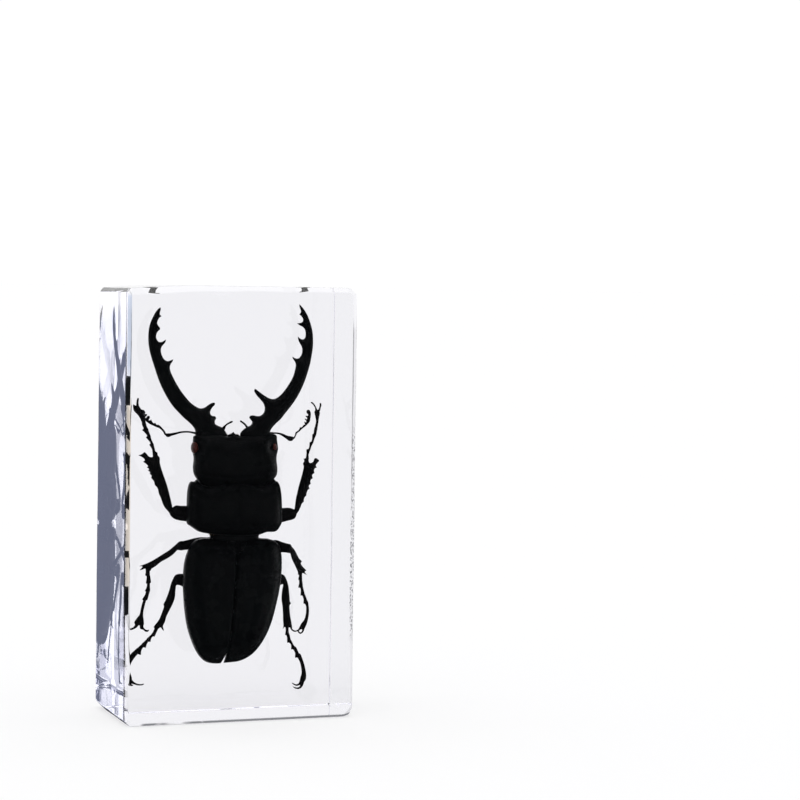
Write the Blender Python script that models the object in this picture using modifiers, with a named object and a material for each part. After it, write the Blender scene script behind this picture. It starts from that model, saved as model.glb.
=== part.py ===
"""Insect in resin block: the cast resin block, standing on its small end.

Metres, +Z up. The origin is the middle of the face that the block stands on.
The front face, through which the specimen is seen from above its back, faces -Y.

The specimen is sealed in the resin, so the only solid that can be touched,
rested on or knocked over is the block itself.
"""

import math

import bpy

# ---- driving dimensions, in metres ------------------------------------------
HEIGHT = 0.0736          # along Z, the long side of the casting
WIDTH = 0.0404           # along X
DEPTH = 0.0212           # along Y, front face to back face
EDGE_RADIUS = 0.0012     # the sanded and buffed edges
EDGE_SEGMENTS = 6
SMOOTH_ANGLE = 30.0      # degrees

COLLECTION = "insect_in_resin_block"
RESIN_COLOUR = (0.90, 0.92, 0.95, 1.0)
RESIN_IOR = 1.55
RESIN_ROUGHNESS = 0.02


def clear_scene():
    for obj in list(bpy.data.objects):
        bpy.data.objects.remove(obj, do_unlink=True)


def part_collection():
    coll = bpy.data.collections.new(COLLECTION)
    bpy.context.scene.collection.children.link(coll)
    return coll


def resin_material():
    mat = bpy.data.materials.new("clear_resin")
    mat.use_nodes = True
    shader = mat.node_tree.nodes["Principled BSDF"]
    shader.inputs["Base Color"].default_value = RESIN_COLOUR
    shader.inputs["Roughness"].default_value = RESIN_ROUGHNESS
    shader.inputs["Metallic"].default_value = 0.0
    shader.inputs["IOR"].default_value = RESIN_IOR
    shader.inputs["Transmission Weight"].default_value = 1.0
    return mat


def make_block(coll):
    """One solid rectangular casting with every edge and corner rounded over."""
    bpy.ops.mesh.primitive_cube_add(size=1.0, location=(0.0, 0.0, HEIGHT / 2.0))
    block = bpy.context.object
    block.name = "resin_block"
    block.data.name = "resin_block"
    for owner in list(block.users_collection):
        owner.objects.unlink(block)
    coll.objects.link(block)

    # real size first, so that the bevel's width is in metres on every edge
    block.scale = (WIDTH, DEPTH, HEIGHT)
    bpy.ops.object.select_all(action="DESELECT")
    block.select_set(True)
    bpy.context.view_layer.objects.active = block
    bpy.ops.object.transform_apply(location=False, rotation=False, scale=True)

    bevel = block.modifiers.new("rounded_edges", "BEVEL")
    bevel.width = EDGE_RADIUS
    bevel.segments = EDGE_SEGMENTS
    bevel.limit_method = "ANGLE"
    bevel.angle_limit = math.radians(40.0)
    bevel.profile = 0.5
    bevel.use_clamp_overlap = True

    block.data.shade_smooth()
    block.data.set_sharp_from_angle(angle=math.radians(SMOOTH_ANGLE))
    block.data.materials.append(resin_material())
    return block


def main():
    clear_scene()
    coll = part_collection()
    make_block(coll)


main()
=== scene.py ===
"""Looks of the insect in resin block: one cast resin block and the black stag beetle sealed in it.

All shapes are worked out in millimetres in the row frame (x to the right of the front face, y away
from the front face, z up) and turned into metres when an object is made.
"""

import math

import bmesh
import bpy
import numpy as np
from mathutils import Matrix, Vector, geometry


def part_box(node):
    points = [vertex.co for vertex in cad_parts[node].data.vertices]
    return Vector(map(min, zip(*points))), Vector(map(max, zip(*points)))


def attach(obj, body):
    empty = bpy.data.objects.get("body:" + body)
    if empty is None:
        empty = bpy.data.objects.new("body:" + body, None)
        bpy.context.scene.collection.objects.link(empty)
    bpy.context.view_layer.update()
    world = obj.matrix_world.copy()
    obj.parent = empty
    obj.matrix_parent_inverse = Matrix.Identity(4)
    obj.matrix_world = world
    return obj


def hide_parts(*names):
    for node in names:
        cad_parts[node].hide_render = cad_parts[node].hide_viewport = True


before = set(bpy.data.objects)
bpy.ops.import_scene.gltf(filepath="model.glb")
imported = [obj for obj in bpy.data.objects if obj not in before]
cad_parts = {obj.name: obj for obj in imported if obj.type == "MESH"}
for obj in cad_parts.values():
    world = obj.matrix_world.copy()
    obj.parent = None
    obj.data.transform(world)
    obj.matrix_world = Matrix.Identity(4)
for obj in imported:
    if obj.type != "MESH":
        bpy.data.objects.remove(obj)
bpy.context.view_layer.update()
BOX_LO, BOX_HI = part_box("resin_block")
BLOCK = (np.array(BOX_HI) - np.array(BOX_LO)) * 1000.0      # size of the block in mm
BLOCK_MID = (np.array(BOX_HI) + np.array(BOX_LO)) * 500.0   # its middle in mm
BASE = np.array([BLOCK_MID[0], BLOCK_MID[1], BOX_LO[2] * 1000.0])
RNG = np.random.default_rng(7)
BODY = "root"

COLL = bpy.data.collections.new("insect_in_resin_looks")
bpy.context.scene.collection.children.link(COLL)


# ------------------------------------------------------------------------------------------------
# camera and studio
# ------------------------------------------------------------------------------------------------
def make_camera():
    pos = np.array([-117.43, -415.67, 74.57]) + BASE
    yaw, pitch, roll = (math.radians(a) for a in (19.734, 2.682, 0.801))
    ahead = Vector((math.sin(yaw) * math.cos(pitch), math.cos(yaw) * math.cos(pitch), -math.sin(pitch)))
    right0 = Vector((math.cos(yaw), -math.sin(yaw), 0.0))
    up0 = right0.cross(ahead)
    right = math.cos(roll) * right0 + math.sin(roll) * up0
    up = -math.sin(roll) * right0 + math.cos(roll) * up0
    cam = bpy.data.cameras.new("camera")
    cam.sensor_width = 36.0
    cam.lens = 112.95
    cam.clip_start = 0.01
    cam.clip_end = 50.0
    obj = bpy.data.objects.new("camera", cam)
    m = Matrix((right, up, -ahead)).transposed().to_4x4()
    m.translation = Vector(pos) / 1000.0
    obj.matrix_world = m
    bpy.context.scene.collection.objects.link(obj)
    bpy.context.scene.camera = obj
    return obj


def node(tree, kind, **sockets):
    n = tree.nodes.new(kind)
    for key, value in sockets.items():
        n.inputs[key.replace("_", " ")].default_value = value
    return n


def ring_of(t, fac, stops):
    ring = t.nodes.new("ShaderNodeValToRGB")
    ring.color_ramp.interpolation = "LINEAR"
    while len(ring.color_ramp.elements) < len(stops):
        ring.color_ramp.elements.new(0.5)
    for el, (deg, col) in zip(ring.color_ramp.elements, stops):
        el.position = (deg + 180.0) / 360.0
        el.color = (*col, 1.0)
    t.links.new(fac, ring.inputs["Fac"])
    return ring.outputs["Color"]


def make_world():
    """A bright white studio: pale all round, a white ceiling with a brighter softbox, and below the
    table's level what the polished faces mirror: a cool grey behind, and an unlit room in front."""
    world = bpy.data.worlds.new("studio")
    bpy.context.scene.world = world
    world.use_nodes = True
    t = world.node_tree
    t.nodes.clear()
    coord = t.nodes.new("ShaderNodeTexCoord")
    split = t.nodes.new("ShaderNodeSeparateXYZ")
    t.links.new(coord.outputs["Generated"], split.inputs[0])

    # compass bearing of the direction, 0 straight behind the object, positive to the right
    bearing = t.nodes.new("ShaderNodeMath")
    bearing.operation = "ARCTAN2"
    t.links.new(split.outputs["X"], bearing.inputs[0])
    t.links.new(split.outputs["Y"], bearing.inputs[1])
    scaled = t.nodes.new("ShaderNodeMapRange")
    scaled.inputs["From Min"].default_value = -math.pi
    scaled.inputs["From Max"].default_value = math.pi
    t.links.new(bearing.outputs[0], scaled.inputs["Value"])
    walls = ring_of(t, scaled.outputs["Result"], WALLS)
    under = ring_of(t, scaled.outputs["Result"], UNDER)

    def blend(z0, z1, below, above):
        rise = t.nodes.new("ShaderNodeMapRange")
        rise.interpolation_type = "SMOOTHSTEP"
        rise.inputs["From Min"].default_value = z0
        rise.inputs["From Max"].default_value = z1
        t.links.new(split.outputs["Z"], rise.inputs["Value"])
        mix = t.nodes.new("ShaderNodeMix")
        mix.data_type = "RGBA"
        t.links.new(rise.outputs["Result"], mix.inputs["Factor"])
        # 6 and 7 are the colour sockets A and B
        for socket, value in ((mix.inputs[6], below), (mix.inputs[7], above)):
            if isinstance(value, tuple):
                socket.default_value = (*value, 1.0)
            else:
                t.links.new(value, socket)
        return mix.outputs[2]

    # light that has come through the resin meets pale walls all round; only what is mirrored, and
    # what lights the dull surfaces, knows the unlit side of the room
    path = t.nodes.new("ShaderNodeLightPath")
    direct = math_node(t, "LESS_THAN", path.outputs["Diffuse Depth"], 0.5)
    through = math_node(t, "MULTIPLY", path.outputs["Is Transmission Ray"], direct)
    room = t.nodes.new("ShaderNodeMix")
    room.data_type = "RGBA"
    t.links.new(through, room.inputs["Factor"])
    t.links.new(walls, room.inputs[6])
    room.inputs[7].default_value = (*WHITE, 1.0)
    sky = blend(-0.016, -0.008, under, room.outputs[2])
    sky = blend(0.30, 0.60, sky, CEILING)
    sky = blend(0.80, 0.90, sky, SOFTBOX)
    studio = node(t, "ShaderNodeBackground", Strength=1.0)
    t.links.new(sky, studio.inputs["Color"])
    backdrop = node(t, "ShaderNodeBackground", Strength=1.0)
    backdrop.inputs["Color"].default_value = (*BACKDROP, 1.0)
    choose = t.nodes.new("ShaderNodeMixShader")
    t.links.new(path.outputs["Is Camera Ray"], choose.inputs[0])
    t.links.new(studio.outputs[0], choose.inputs[1])
    t.links.new(backdrop.outputs[0], choose.inputs[2])
    out = t.nodes.new("ShaderNodeOutputWorld")
    t.links.new(choose.outputs[0], out.inputs["Surface"])


WHITE = (1.02, 1.02, 1.025)
DARK = (0.020, 0.022, 0.026)
COOL = (0.50, 0.55, 0.80)
WALLS = [
    (-180.0, DARK), (-150.0, DARK), (-110.0, (0.7, 0.7, 0.72)), (-60.0, WHITE),
    (60.0, WHITE), (110.0, (0.7, 0.7, 0.72)), (150.0, DARK), (180.0, DARK),
]
DIM = (0.07, 0.075, 0.09)
UNDER = [
    (-180.0, DARK), (-60.0, DIM), (-27.0, DIM), (-20.0, COOL), (-7.0, COOL), (0.0, DIM), (60.0, DIM), (180.0, DARK),
]
CEILING = (1.0, 1.0, 1.0)
SOFTBOX = (2.0, 2.0, 2.0)
BACKDROP = (1.02, 1.02, 1.02)


def make_floor():
    bm = bmesh.new()
    bmesh.ops.create_circle(bm, cap_ends=True, segments=96, radius=30.0)
    me = bpy.data.meshes.new("floor")
    bm.to_mesh(me)
    bm.free()
    floor = bpy.data.objects.new("floor", me)
    floor.location = (0.0, 0.0, BOX_LO[2] - 0.00005)
    COLL.objects.link(floor)
    mat = bpy.data.materials.new("pale_floor")
    mat.use_nodes = True
    s = mat.node_tree.nodes["Principled BSDF"]
    s.inputs["Base Color"].default_value = (FLOOR, FLOOR, FLOOR * 1.005, 1.0)
    s.inputs["Roughness"].default_value = 1.0
    s.inputs["Specular IOR Level"].default_value = 0.0
    s.inputs["Emission Color"].default_value = (1.0, 1.0, 1.004, 1.0)
    s.inputs["Emission Strength"].default_value = FLOOR_GLOW
    me.materials.append(mat)
    # the retouched photograph has no veil of table light on the polished front
    floor.visible_glossy = False


FLOOR = 0.30
FLOOR_GLOW = 0.64


def area_light(name, at, target, size, watts, colour=(1.0, 1.0, 1.0)):
    data = bpy.data.lights.new(name, "AREA")
    data.shape = "RECTANGLE"
    data.size, data.size_y = size
    data.energy = watts
    data.color = colour
    obj = bpy.data.objects.new(name, data)
    obj.location = at
    obj.rotation_euler = (Vector(target) - Vector(at)).to_track_quat("-Z", "Y").to_euler()
    bpy.context.scene.collection.objects.link(obj)
    return obj


def make_lights():
    """A narrow strip beside the block: it shows only through the polished right side."""
    lo, hi = np.array(BOX_LO), np.array(BOX_HI)
    mid = (lo + hi) / 2.0
    at = Vector((hi[0] + 0.0012, mid[1], mid[2]))
    strip = area_light("strip_right", at, at + Vector((-1.0, 0.0, 0.0)), (1.0, 1.0), 1.0)
    strip.rotation_euler = (0.0, math.radians(90.0), 0.0)
    strip.data.size, strip.data.size_y = 0.076, 0.028
    strip.data.energy = STRIP * math.pi * 0.076 * 0.028
    strip.visible_camera = False
    strip.visible_glossy = False
    strip.visible_diffuse = False


STRIP = 0.78


# ------------------------------------------------------------------------------------------------
# shape tools
# ------------------------------------------------------------------------------------------------
def smooth_outline(points, step):
    """Closed smooth line through the control points. A third value of 1 marks a sharp corner."""
    pts = [np.array(p[:2], float) for p in points]
    sharp = [len(p) > 2 for p in points]
    n = len(pts)
    out = []
    for i in range(n):
        p1, p2 = pts[i], pts[(i + 1) % n]
        p0 = pts[i - 1] if not sharp[i] else p1 - (p2 - p1)
        p3 = pts[(i + 2) % n] if not sharp[(i + 1) % n] else p2 + (p2 - p1)
        length = float(np.linalg.norm(p2 - p1))
        k = max(2, int(math.ceil(length / step)))
        t0 = 0.0
        t1 = t0 + max(np.linalg.norm(p1 - p0), 1e-6) ** 0.5
        t2 = t1 + max(length, 1e-6) ** 0.5
        t3 = t2 + max(np.linalg.norm(p3 - p2), 1e-6) ** 0.5
        for j in range(k):
            t = t1 + (t2 - t1) * j / k
            a1 = (t1 - t) / (t1 - t0) * p0 + (t - t0) / (t1 - t0) * p1
            a2 = (t2 - t) / (t2 - t1) * p1 + (t - t1) / (t2 - t1) * p2
            a3 = (t3 - t) / (t3 - t2) * p2 + (t - t2) / (t3 - t2) * p3
            b1 = (t2 - t) / (t2 - t0) * a1 + (t - t0) / (t2 - t0) * a2
            b2 = (t3 - t) / (t3 - t1) * a2 + (t - t1) / (t3 - t1) * a3
            out.append((t2 - t) / (t2 - t1) * b1 + (t - t1) / (t2 - t1) * b2)
    out = np.array(out)
    x, y = out[:, 0], out[:, 1]
    if np.sum(x * np.roll(y, -1) - np.roll(x, -1) * y) < 0.0:
        out = out[::-1].copy()
    return out


def edge_distance(points, line):
    """Distance from each point to the closed line."""
    a = line
    b = np.roll(line, -1, axis=0)
    d = b - a
    ll = np.maximum((d * d).sum(1), 1e-12)
    best = np.full(len(points), 1e9)
    for s in range(0, len(points), 400):
        p = points[s : s + 400]
        t = np.clip(((p[:, None] - a) * d).sum(2) / ll, 0.0, 1.0)
        q = a + t[..., None] * d
        best[s : s + 400] = np.sqrt(((p[:, None] - q) ** 2).sum(2)).min(1)
    return best


def inside(points, line):
    x, y = points[:, 0], points[:, 1]
    hit = np.zeros(len(points), bool)
    for (x1, y1), (x2, y2) in zip(line, np.roll(line, -1, axis=0)):
        if y1 == y2:
            continue
        cross = (y1 > y) != (y2 > y)
        hit ^= cross & (x < (x2 - x1) * (y - y1) / (y2 - y1) + x1)
    return hit


def fill(line, step, rings=(), extra=None):
    """Triangles that fill a closed line, with inner rings close to the rim. Returns points and faces."""
    n = len(line)
    nxt, prv = np.roll(line, -1, axis=0), np.roll(line, 1, axis=0)
    tan = nxt - prv
    tan /= np.maximum(np.linalg.norm(tan, axis=1), 1e-9)[:, None]
    nrm = np.stack([-tan[:, 1], tan[:, 0]], axis=1)
    inner = []
    for d in rings:
        p = line + nrm * d
        ok = inside(p, line)
        ok &= edge_distance(p, line) > d * 0.93
        inner.append(p[ok])
    last = (rings[-1] if len(rings) else 0.0) + 0.55 * step
    lo, hi = line.min(0), line.max(0)
    rows = []
    y, odd = lo[1], False
    while y < hi[1]:
        xs = np.arange(lo[0] + (0.5 * step if odd else 0.0), hi[0], step)
        rows.append(np.stack([xs, np.full_like(xs, y)], axis=1))
        y += step * 0.866
        odd = not odd
    g = np.concatenate(rows)
    g = g[inside(g, line)]
    if len(g):
        g = g[edge_distance(g, line) > last]
    if extra is not None and len(g):
        g = g[np.sqrt(((g[:, None] - extra[None]) ** 2).sum(2)).min(1) > 0.5 * step]
    sets = [line] + inner + [g]
    edges = [(i, (i + 1) % n) for i in range(n)]
    if extra is not None:
        start = sum(len(s) for s in sets)
        mid = extra[1:-1]
        sets.append(mid)
        first = int(np.argmin(((line - extra[0]) ** 2).sum(1)))
        end = int(np.argmin(((line - extra[-1]) ** 2).sum(1)))
        chain = [first] + list(range(start, start + len(mid))) + [end]
        edges += list(zip(chain[:-1], chain[1:]))
    pts = np.concatenate([s for s in sets if len(s)])
    pts += RNG.uniform(-1e-4, 1e-4, pts.shape) * (np.arange(len(pts)) >= n)[:, None]
    co, _, faces, _, _, _ = geometry.delaunay_2d_cdt(
        [Vector(p) for p in pts], edges, [list(range(n))], 1, 1e-6
    )
    co = np.array([tuple(c) for c in co])
    tri = np.array([f for f in faces if len(f) == 3])
    mid = co[tri].mean(1)
    tri = tri[inside(mid, line)]
    a, b, c = co[tri[:, 0]], co[tri[:, 1]], co[tri[:, 2]]
    area = (b[:, 0] - a[:, 0]) * (c[:, 1] - a[:, 1]) - (b[:, 1] - a[:, 1]) * (c[:, 0] - a[:, 0])
    tri[area < 0.0] = tri[area < 0.0][:, ::-1]
    tri = tri[np.abs(area) > 1e-9]
    used = np.unique(tri)
    new = -np.ones(len(co), int)
    new[used] = np.arange(len(used))
    return co[used], new[tri]


def open_edges(tri):
    e = np.concatenate([tri[:, [0, 1]], tri[:, [1, 2]], tri[:, [2, 0]]])
    key = np.sort(e, axis=1)
    _, inv, count = np.unique(key, axis=0, return_inverse=True, return_counts=True)
    return e[count[inv.ravel()] == 1]


def membrane(co, tri, rim):
    """Height of a stretched membrane blown up over the shape: 0 at the rim, round inside."""
    n = len(co)
    area = np.zeros(n)
    ii, jj, ww = [], [], []
    for k in range(3):
        a, b, c = tri[:, k], tri[:, (k + 1) % 3], tri[:, (k + 2) % 3]
        u, v = co[a] - co[c], co[b] - co[c]
        cr = np.abs(u[:, 0] * v[:, 1] - u[:, 1] * v[:, 0]) + 1e-12
        w = np.clip((u * v).sum(1) / cr, 0.02, 30.0) * 0.5
        ii += [a, b]
        jj += [b, a]
        ww += [w, w]
        if k == 0:
            for q in (a, b, c):
                area += np.bincount(q, cr / 6.0, n)
    ii, jj, ww = np.concatenate(ii), np.concatenate(jj), np.concatenate(ww)
    diag = np.bincount(ii, ww, n)
    free = ~rim

    def apply(x):
        x = x * free
        return (diag * x - np.bincount(ii, ww * x[jj], n)) * free

    b = area * free
    x = np.zeros(n)
    r = b - apply(x)
    z = r / np.maximum(diag, 1e-9)
    p = z.copy()
    rz = r @ z
    for _ in range(600):
        ap = apply(p)
        den = p @ ap
        if den <= 0.0:
            break
        alpha = rz / den
        x += alpha * p
        r -= alpha * ap
        if np.abs(r).max() < 1e-7:
            break
        z = r / np.maximum(diag, 1e-9)
        new = r @ z
        p = z + new / rz * p
        rz = new
    return np.sqrt(np.maximum(2.0 * x, 0.0))


class Shell:
    """Gathers closed bodies, in mm, that together make one named piece."""

    def __init__(self):
        self.co, self.faces, self.count = [], [], 0

    def add(self, co, faces):
        co = np.asarray(co, float)
        self.co.append(co)
        self.faces += [tuple(int(i) + self.count for i in f) for f in faces]
        self.count += len(co)
        return self

    def points(self):
        return np.concatenate(self.co)


def two_sided(co, tri, rim, top, bottom, depth):
    """Closed body from a filled outline: top and bottom are how far each side stands off the rim."""
    n = len(co)
    up = np.stack([co[:, 0], depth - top, co[:, 1]], axis=1)
    down = np.stack([co[:, 0], depth + bottom, co[:, 1]], axis=1)
    low = np.arange(n)
    free = np.where(~rim)[0]
    low[free] = n + np.arange(len(free))
    pts = np.concatenate([up, down[free]])
    faces = [tuple(f) for f in tri] + [tuple(low[f][::-1]) for f in tri]
    return pts, faces


def pillow(shell, points, depth, step=0.2, rings=None, flat_top=0.9, flat_bottom=0.9, power=1.0, relief=None):
    """A rounded body that fills an outline. depth(x, z) is where its rim lies."""
    line = smooth_outline(points, step * 0.8)
    rings = (0.12 * step, 0.45 * step) if rings is None else rings
    co, tri = fill(line, step, rings)
    rim = np.zeros(len(co), bool)
    rim[np.unique(open_edges(tri))] = True
    r = membrane(co, tri, rim)
    top, bottom = flat_top * r**power, flat_bottom * r**power
    if relief is not None:
        dt, db = relief(co[:, 0], co[:, 1], r, edge_distance(co, line))
        top, bottom = top + dt * ~rim, bottom + db * ~rim
    y = depth(co[:, 0], co[:, 1])
    shell.add(*two_sided(co, tri, rim, top, bottom, y))
    return co, tri, r


def ellipsoid(shell, centre, radii, turn=(0.0, 0.0, 0.0), rows=14, cols=22):
    co, faces = [], []
    rot = np.array(Matrix.Rotation(turn[2], 3, "Z") @ Matrix.Rotation(turn[1], 3, "Y") @ Matrix.Rotation(turn[0], 3, "X"))
    for i in range(1, rows):
        th = math.pi * i / rows
        for j in range(cols):
            ph = 2.0 * math.pi * j / cols
            co.append((math.sin(th) * math.cos(ph), math.sin(th) * math.sin(ph), math.cos(th)))
    co += [(0.0, 0.0, 1.0), (0.0, 0.0, -1.0)]
    north, south = len(co) - 2, len(co) - 1
    for i in range(rows - 2):
        for j in range(cols):
            a, b = i * cols + j, i * cols + (j + 1) % cols
            faces.append((a, a + cols, b + cols, b))
    for j in range(cols):
        faces.append((north, j, (j + 1) % cols))
        faces.append((south, (rows - 2) * cols + (j + 1) % cols, (rows - 2) * cols + j))
    co = (np.array(co) * np.array(radii)) @ rot.T + np.array(centre)
    shell.add(co, faces)


def sweep(shell, path, radii, sides=12, squash=1.0):
    """A tapering round body along a path, closed at both ends."""
    path = np.array(path, float)
    n = len(path)
    tan = np.gradient(path, axis=0)
    tan /= np.maximum(np.linalg.norm(tan, axis=1), 1e-9)[:, None]
    ref = np.array([0.0, 1.0, 0.0])
    co, faces = [], []
    for i in range(n):
        side = np.cross(tan[i], ref)
        if np.linalg.norm(side) < 1e-6:
            side = np.array([1.0, 0.0, 0.0])
        side /= np.linalg.norm(side)
        up = np.cross(side, tan[i])
        for j in range(sides):
            a = 2.0 * math.pi * j / sides
            co.append(path[i] + radii[i] * (math.cos(a) * side + squash * math.sin(a) * up))
    for i in range(n - 1):
        for j in range(sides):
            a, b = i * sides + j, i * sides + (j + 1) % sides
            faces.append((a, b, b + sides, a + sides))
    co += [path[0], path[-1]]
    for j in range(sides):
        faces.append((len(co) - 2, (j + 1) % sides, j))
        faces.append((len(co) - 1, (n - 1) * sides + j, (n - 1) * sides + (j + 1) % sides))
    shell.add(co, faces)


def curve_through(points, per=8):
    pts = np.array(points, float)
    ext = np.concatenate([[2 * pts[0] - pts[1]], pts, [2 * pts[-1] - pts[-2]]])
    out = []
    for i in range(1, len(ext) - 2):
        p0, p1, p2, p3 = ext[i - 1 : i + 3]
        for j in range(per):
            t = j / per
            out.append(0.5 * (2 * p1 + (p2 - p0) * t + (2 * p0 - 5 * p1 + 4 * p2 - p3) * t * t + (3 * p1 - p0 - 3 * p2 + p3) * t**3))
    out.append(pts[-1])
    return np.array(out)


def make_object(name, shell, material, remesh=None, smooth=0, keep_flat=False):
    """Turns a shell into a piece, as one continuous skin if a voxel size in mm is given."""
    me = bpy.data.meshes.new(name)
    me.from_pydata([tuple(c) for c in shell.points()], [], shell.faces)
    me.validate()
    obj = bpy.data.objects.new(name, me)
    COLL.objects.link(obj)
    bm = bmesh.new()
    bm.from_mesh(me)
    bmesh.ops.recalc_face_normals(bm, faces=bm.faces)
    bm.to_mesh(me)
    bm.free()
    if remesh or smooth:
        if remesh:
            m = obj.modifiers.new("skin", "REMESH")
            m.mode = "VOXEL"
            m.voxel_size = remesh
            m.use_smooth_shade = True
        if smooth:
            s = obj.modifiers.new("soften", "SMOOTH")
            s.factor = 0.5
            s.iterations = smooth
        bpy.context.view_layer.update()
        dg = bpy.context.evaluated_depsgraph_get()
        new = bpy.data.meshes.new_from_object(obj.evaluated_get(dg))
        obj.modifiers.clear()
        obj.data = new
        bpy.data.meshes.remove(me)
        new.name = name
        me = new
    me.transform(Matrix.Scale(0.001, 4))
    if not keep_flat:
        me.shade_smooth()
    me.materials.clear()
    me.materials.append(material)
    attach(obj, BODY)
    return obj


# ------------------------------------------------------------------------------------------------
# materials
# ------------------------------------------------------------------------------------------------
def chitin(name, dark, light, rough=(0.22, 0.42), pits=26000.0, pit_depth=0.5, grain=9000.0, grain_depth=0.25,
           index=1.095, streak=None):
    """Near-black cuticle: fine pits, a finer grain, and a tone that wanders at random between the dark and light
    colours given.
    """
    mat = bpy.data.materials.new(name)
    mat.use_nodes = True
    t = mat.node_tree
    s = t.nodes["Principled BSDF"]
    s.inputs["IOR"].default_value = index
    s.inputs["Specular IOR Level"].default_value = 0.5
    coord = t.nodes.new("ShaderNodeTexCoord")
    place = coord.outputs["Object"]

    big = node(t, "ShaderNodeTexNoise", Scale=420.0, Detail=4.0, Roughness=0.55)
    t.links.new(place, big.inputs["Vector"])
    tone = t.nodes.new("ShaderNodeValToRGB")
    tone.color_ramp.elements[0].position = 0.35
    tone.color_ramp.elements[0].color = (*dark, 1.0)
    tone.color_ramp.elements[1].position = 0.72
    tone.color_ramp.elements[1].color = (*light, 1.0)
    t.links.new(big.outputs["Fac"], tone.inputs["Fac"])
    t.links.new(tone.outputs["Color"], s.inputs["Base Color"])

    fine = node(t, "ShaderNodeTexNoise", Scale=grain, Detail=3.0, Roughness=0.6)
    t.links.new(place, fine.inputs["Vector"])
    rr = t.nodes.new("ShaderNodeMapRange")
    rr.inputs["From Min"].default_value = 0.3
    rr.inputs["From Max"].default_value = 0.75
    rr.inputs["To Min"].default_value = rough[0]
    rr.inputs["To Max"].default_value = rough[1]
    t.links.new(big.outputs["Fac"], rr.inputs["Value"])
    t.links.new(rr.outputs["Result"], s.inputs["Roughness"])

    dots = node(t, "ShaderNodeTexVoronoi", Scale=pits / 10.0, Randomness=1.0)
    dots.feature = "F1"
    t.links.new(place, dots.inputs["Vector"])
    well = t.nodes.new("ShaderNodeMapRange")
    well.interpolation_type = "SMOOTHSTEP"
    well.inputs["From Min"].default_value = 0.08
    well.inputs["From Max"].default_value = 0.34
    t.links.new(dots.outputs["Distance"], well.inputs["Value"])
    b1 = node(t, "ShaderNodeBump", Strength=pit_depth, Distance=0.00008)
    t.links.new(well.outputs["Result"], b1.inputs["Height"])
    b2 = node(t, "ShaderNodeBump", Strength=grain_depth, Distance=0.00005)
    t.links.new(fine.outputs["Fac"], b2.inputs["Height"])
    t.links.new(b1.outputs["Normal"], b2.inputs["Normal"])
    last = b2
    if streak:
        stretch = t.nodes.new("ShaderNodeMapping")
        stretch.inputs["Scale"].default_value = streak
        t.links.new(place, stretch.inputs["Vector"])
        lines = node(t, "ShaderNodeTexNoise", Scale=1.0, Detail=2.0, Roughness=0.5)
        t.links.new(stretch.outputs["Vector"], lines.inputs["Vector"])
        b3 = node(t, "ShaderNodeBump", Strength=0.35, Distance=0.0001)
        t.links.new(lines.outputs["Fac"], b3.inputs["Height"])
        t.links.new(b2.outputs["Normal"], b3.inputs["Normal"])
        last = b3
    t.links.new(last.outputs["Normal"], s.inputs["Normal"])
    return mat


def eye_material():
    mat = bpy.data.materials.new("eye_cuticle")
    mat.use_nodes = True
    t = mat.node_tree
    s = t.nodes["Principled BSDF"]
    s.inputs["IOR"].default_value = 1.22
    coord = t.nodes.new("ShaderNodeTexCoord")
    cells = node(t, "ShaderNodeTexVoronoi", Scale=14000.0, Randomness=0.25)
    t.links.new(coord.outputs["Object"], cells.inputs["Vector"])
    tone = t.nodes.new("ShaderNodeValToRGB")
    tone.color_ramp.elements[0].color = (0.085, 0.016, 0.010, 1.0)
    tone.color_ramp.elements[1].color = (0.025, 0.005, 0.004, 1.0)
    t.links.new(cells.outputs["Distance"], tone.inputs["Fac"])
    t.links.new(tone.outputs["Color"], s.inputs["Base Color"])
    s.inputs["Roughness"].default_value = 0.28
    bump = node(t, "ShaderNodeBump", Strength=0.5, Distance=0.00004)
    bump.invert = True
    t.links.new(cells.outputs["Distance"], bump.inputs["Height"])
    t.links.new(bump.outputs["Normal"], s.inputs["Normal"])
    return mat


def setae_material():
    mat = bpy.data.materials.new("golden_setae")
    mat.use_nodes = True
    t = mat.node_tree
    s = t.nodes["Principled BSDF"]
    s.inputs["IOR"].default_value = 1.25
    s.inputs["Roughness"].default_value = 0.45
    coord = t.nodes.new("ShaderNodeTexCoord")
    big = node(t, "ShaderNodeTexNoise", Scale=2600.0, Detail=2.0)
    t.links.new(coord.outputs["Object"], big.inputs["Vector"])
    tone = t.nodes.new("ShaderNodeValToRGB")
    tone.color_ramp.elements[0].color = (0.10, 0.045, 0.014, 1.0)
    tone.color_ramp.elements[1].color = (0.34, 0.19, 0.07, 1.0)
    t.links.new(big.outputs["Fac"], tone.inputs["Fac"])
    t.links.new(tone.outputs["Color"], s.inputs["Base Color"])
    return mat


def math_node(t, op, a, b=None, clamp=False):
    n = t.nodes.new("ShaderNodeMath")
    n.operation = op
    n.use_clamp = clamp
    for socket, value in ((0, a), (1, b)):
        if value is None:
            continue
        if isinstance(value, (int, float)):
            n.inputs[socket].default_value = value
        else:
            t.links.new(value, n.inputs[socket])
    return n.outputs[0]


def ramp(t, value, a, b, smooth=True):
    """0 at a, 1 at b."""
    n = t.nodes.new("ShaderNodeMapRange")
    n.interpolation_type = "SMOOTHSTEP" if smooth else "LINEAR"
    if a > b:
        n.inputs["From Min"].default_value, n.inputs["From Max"].default_value = b, a
        n.inputs["To Min"].default_value, n.inputs["To Max"].default_value = 1.0, 0.0
    else:
        n.inputs["From Min"].default_value, n.inputs["From Max"].default_value = a, b
    t.links.new(value, n.inputs["Value"])
    return n.outputs["Result"]


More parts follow.
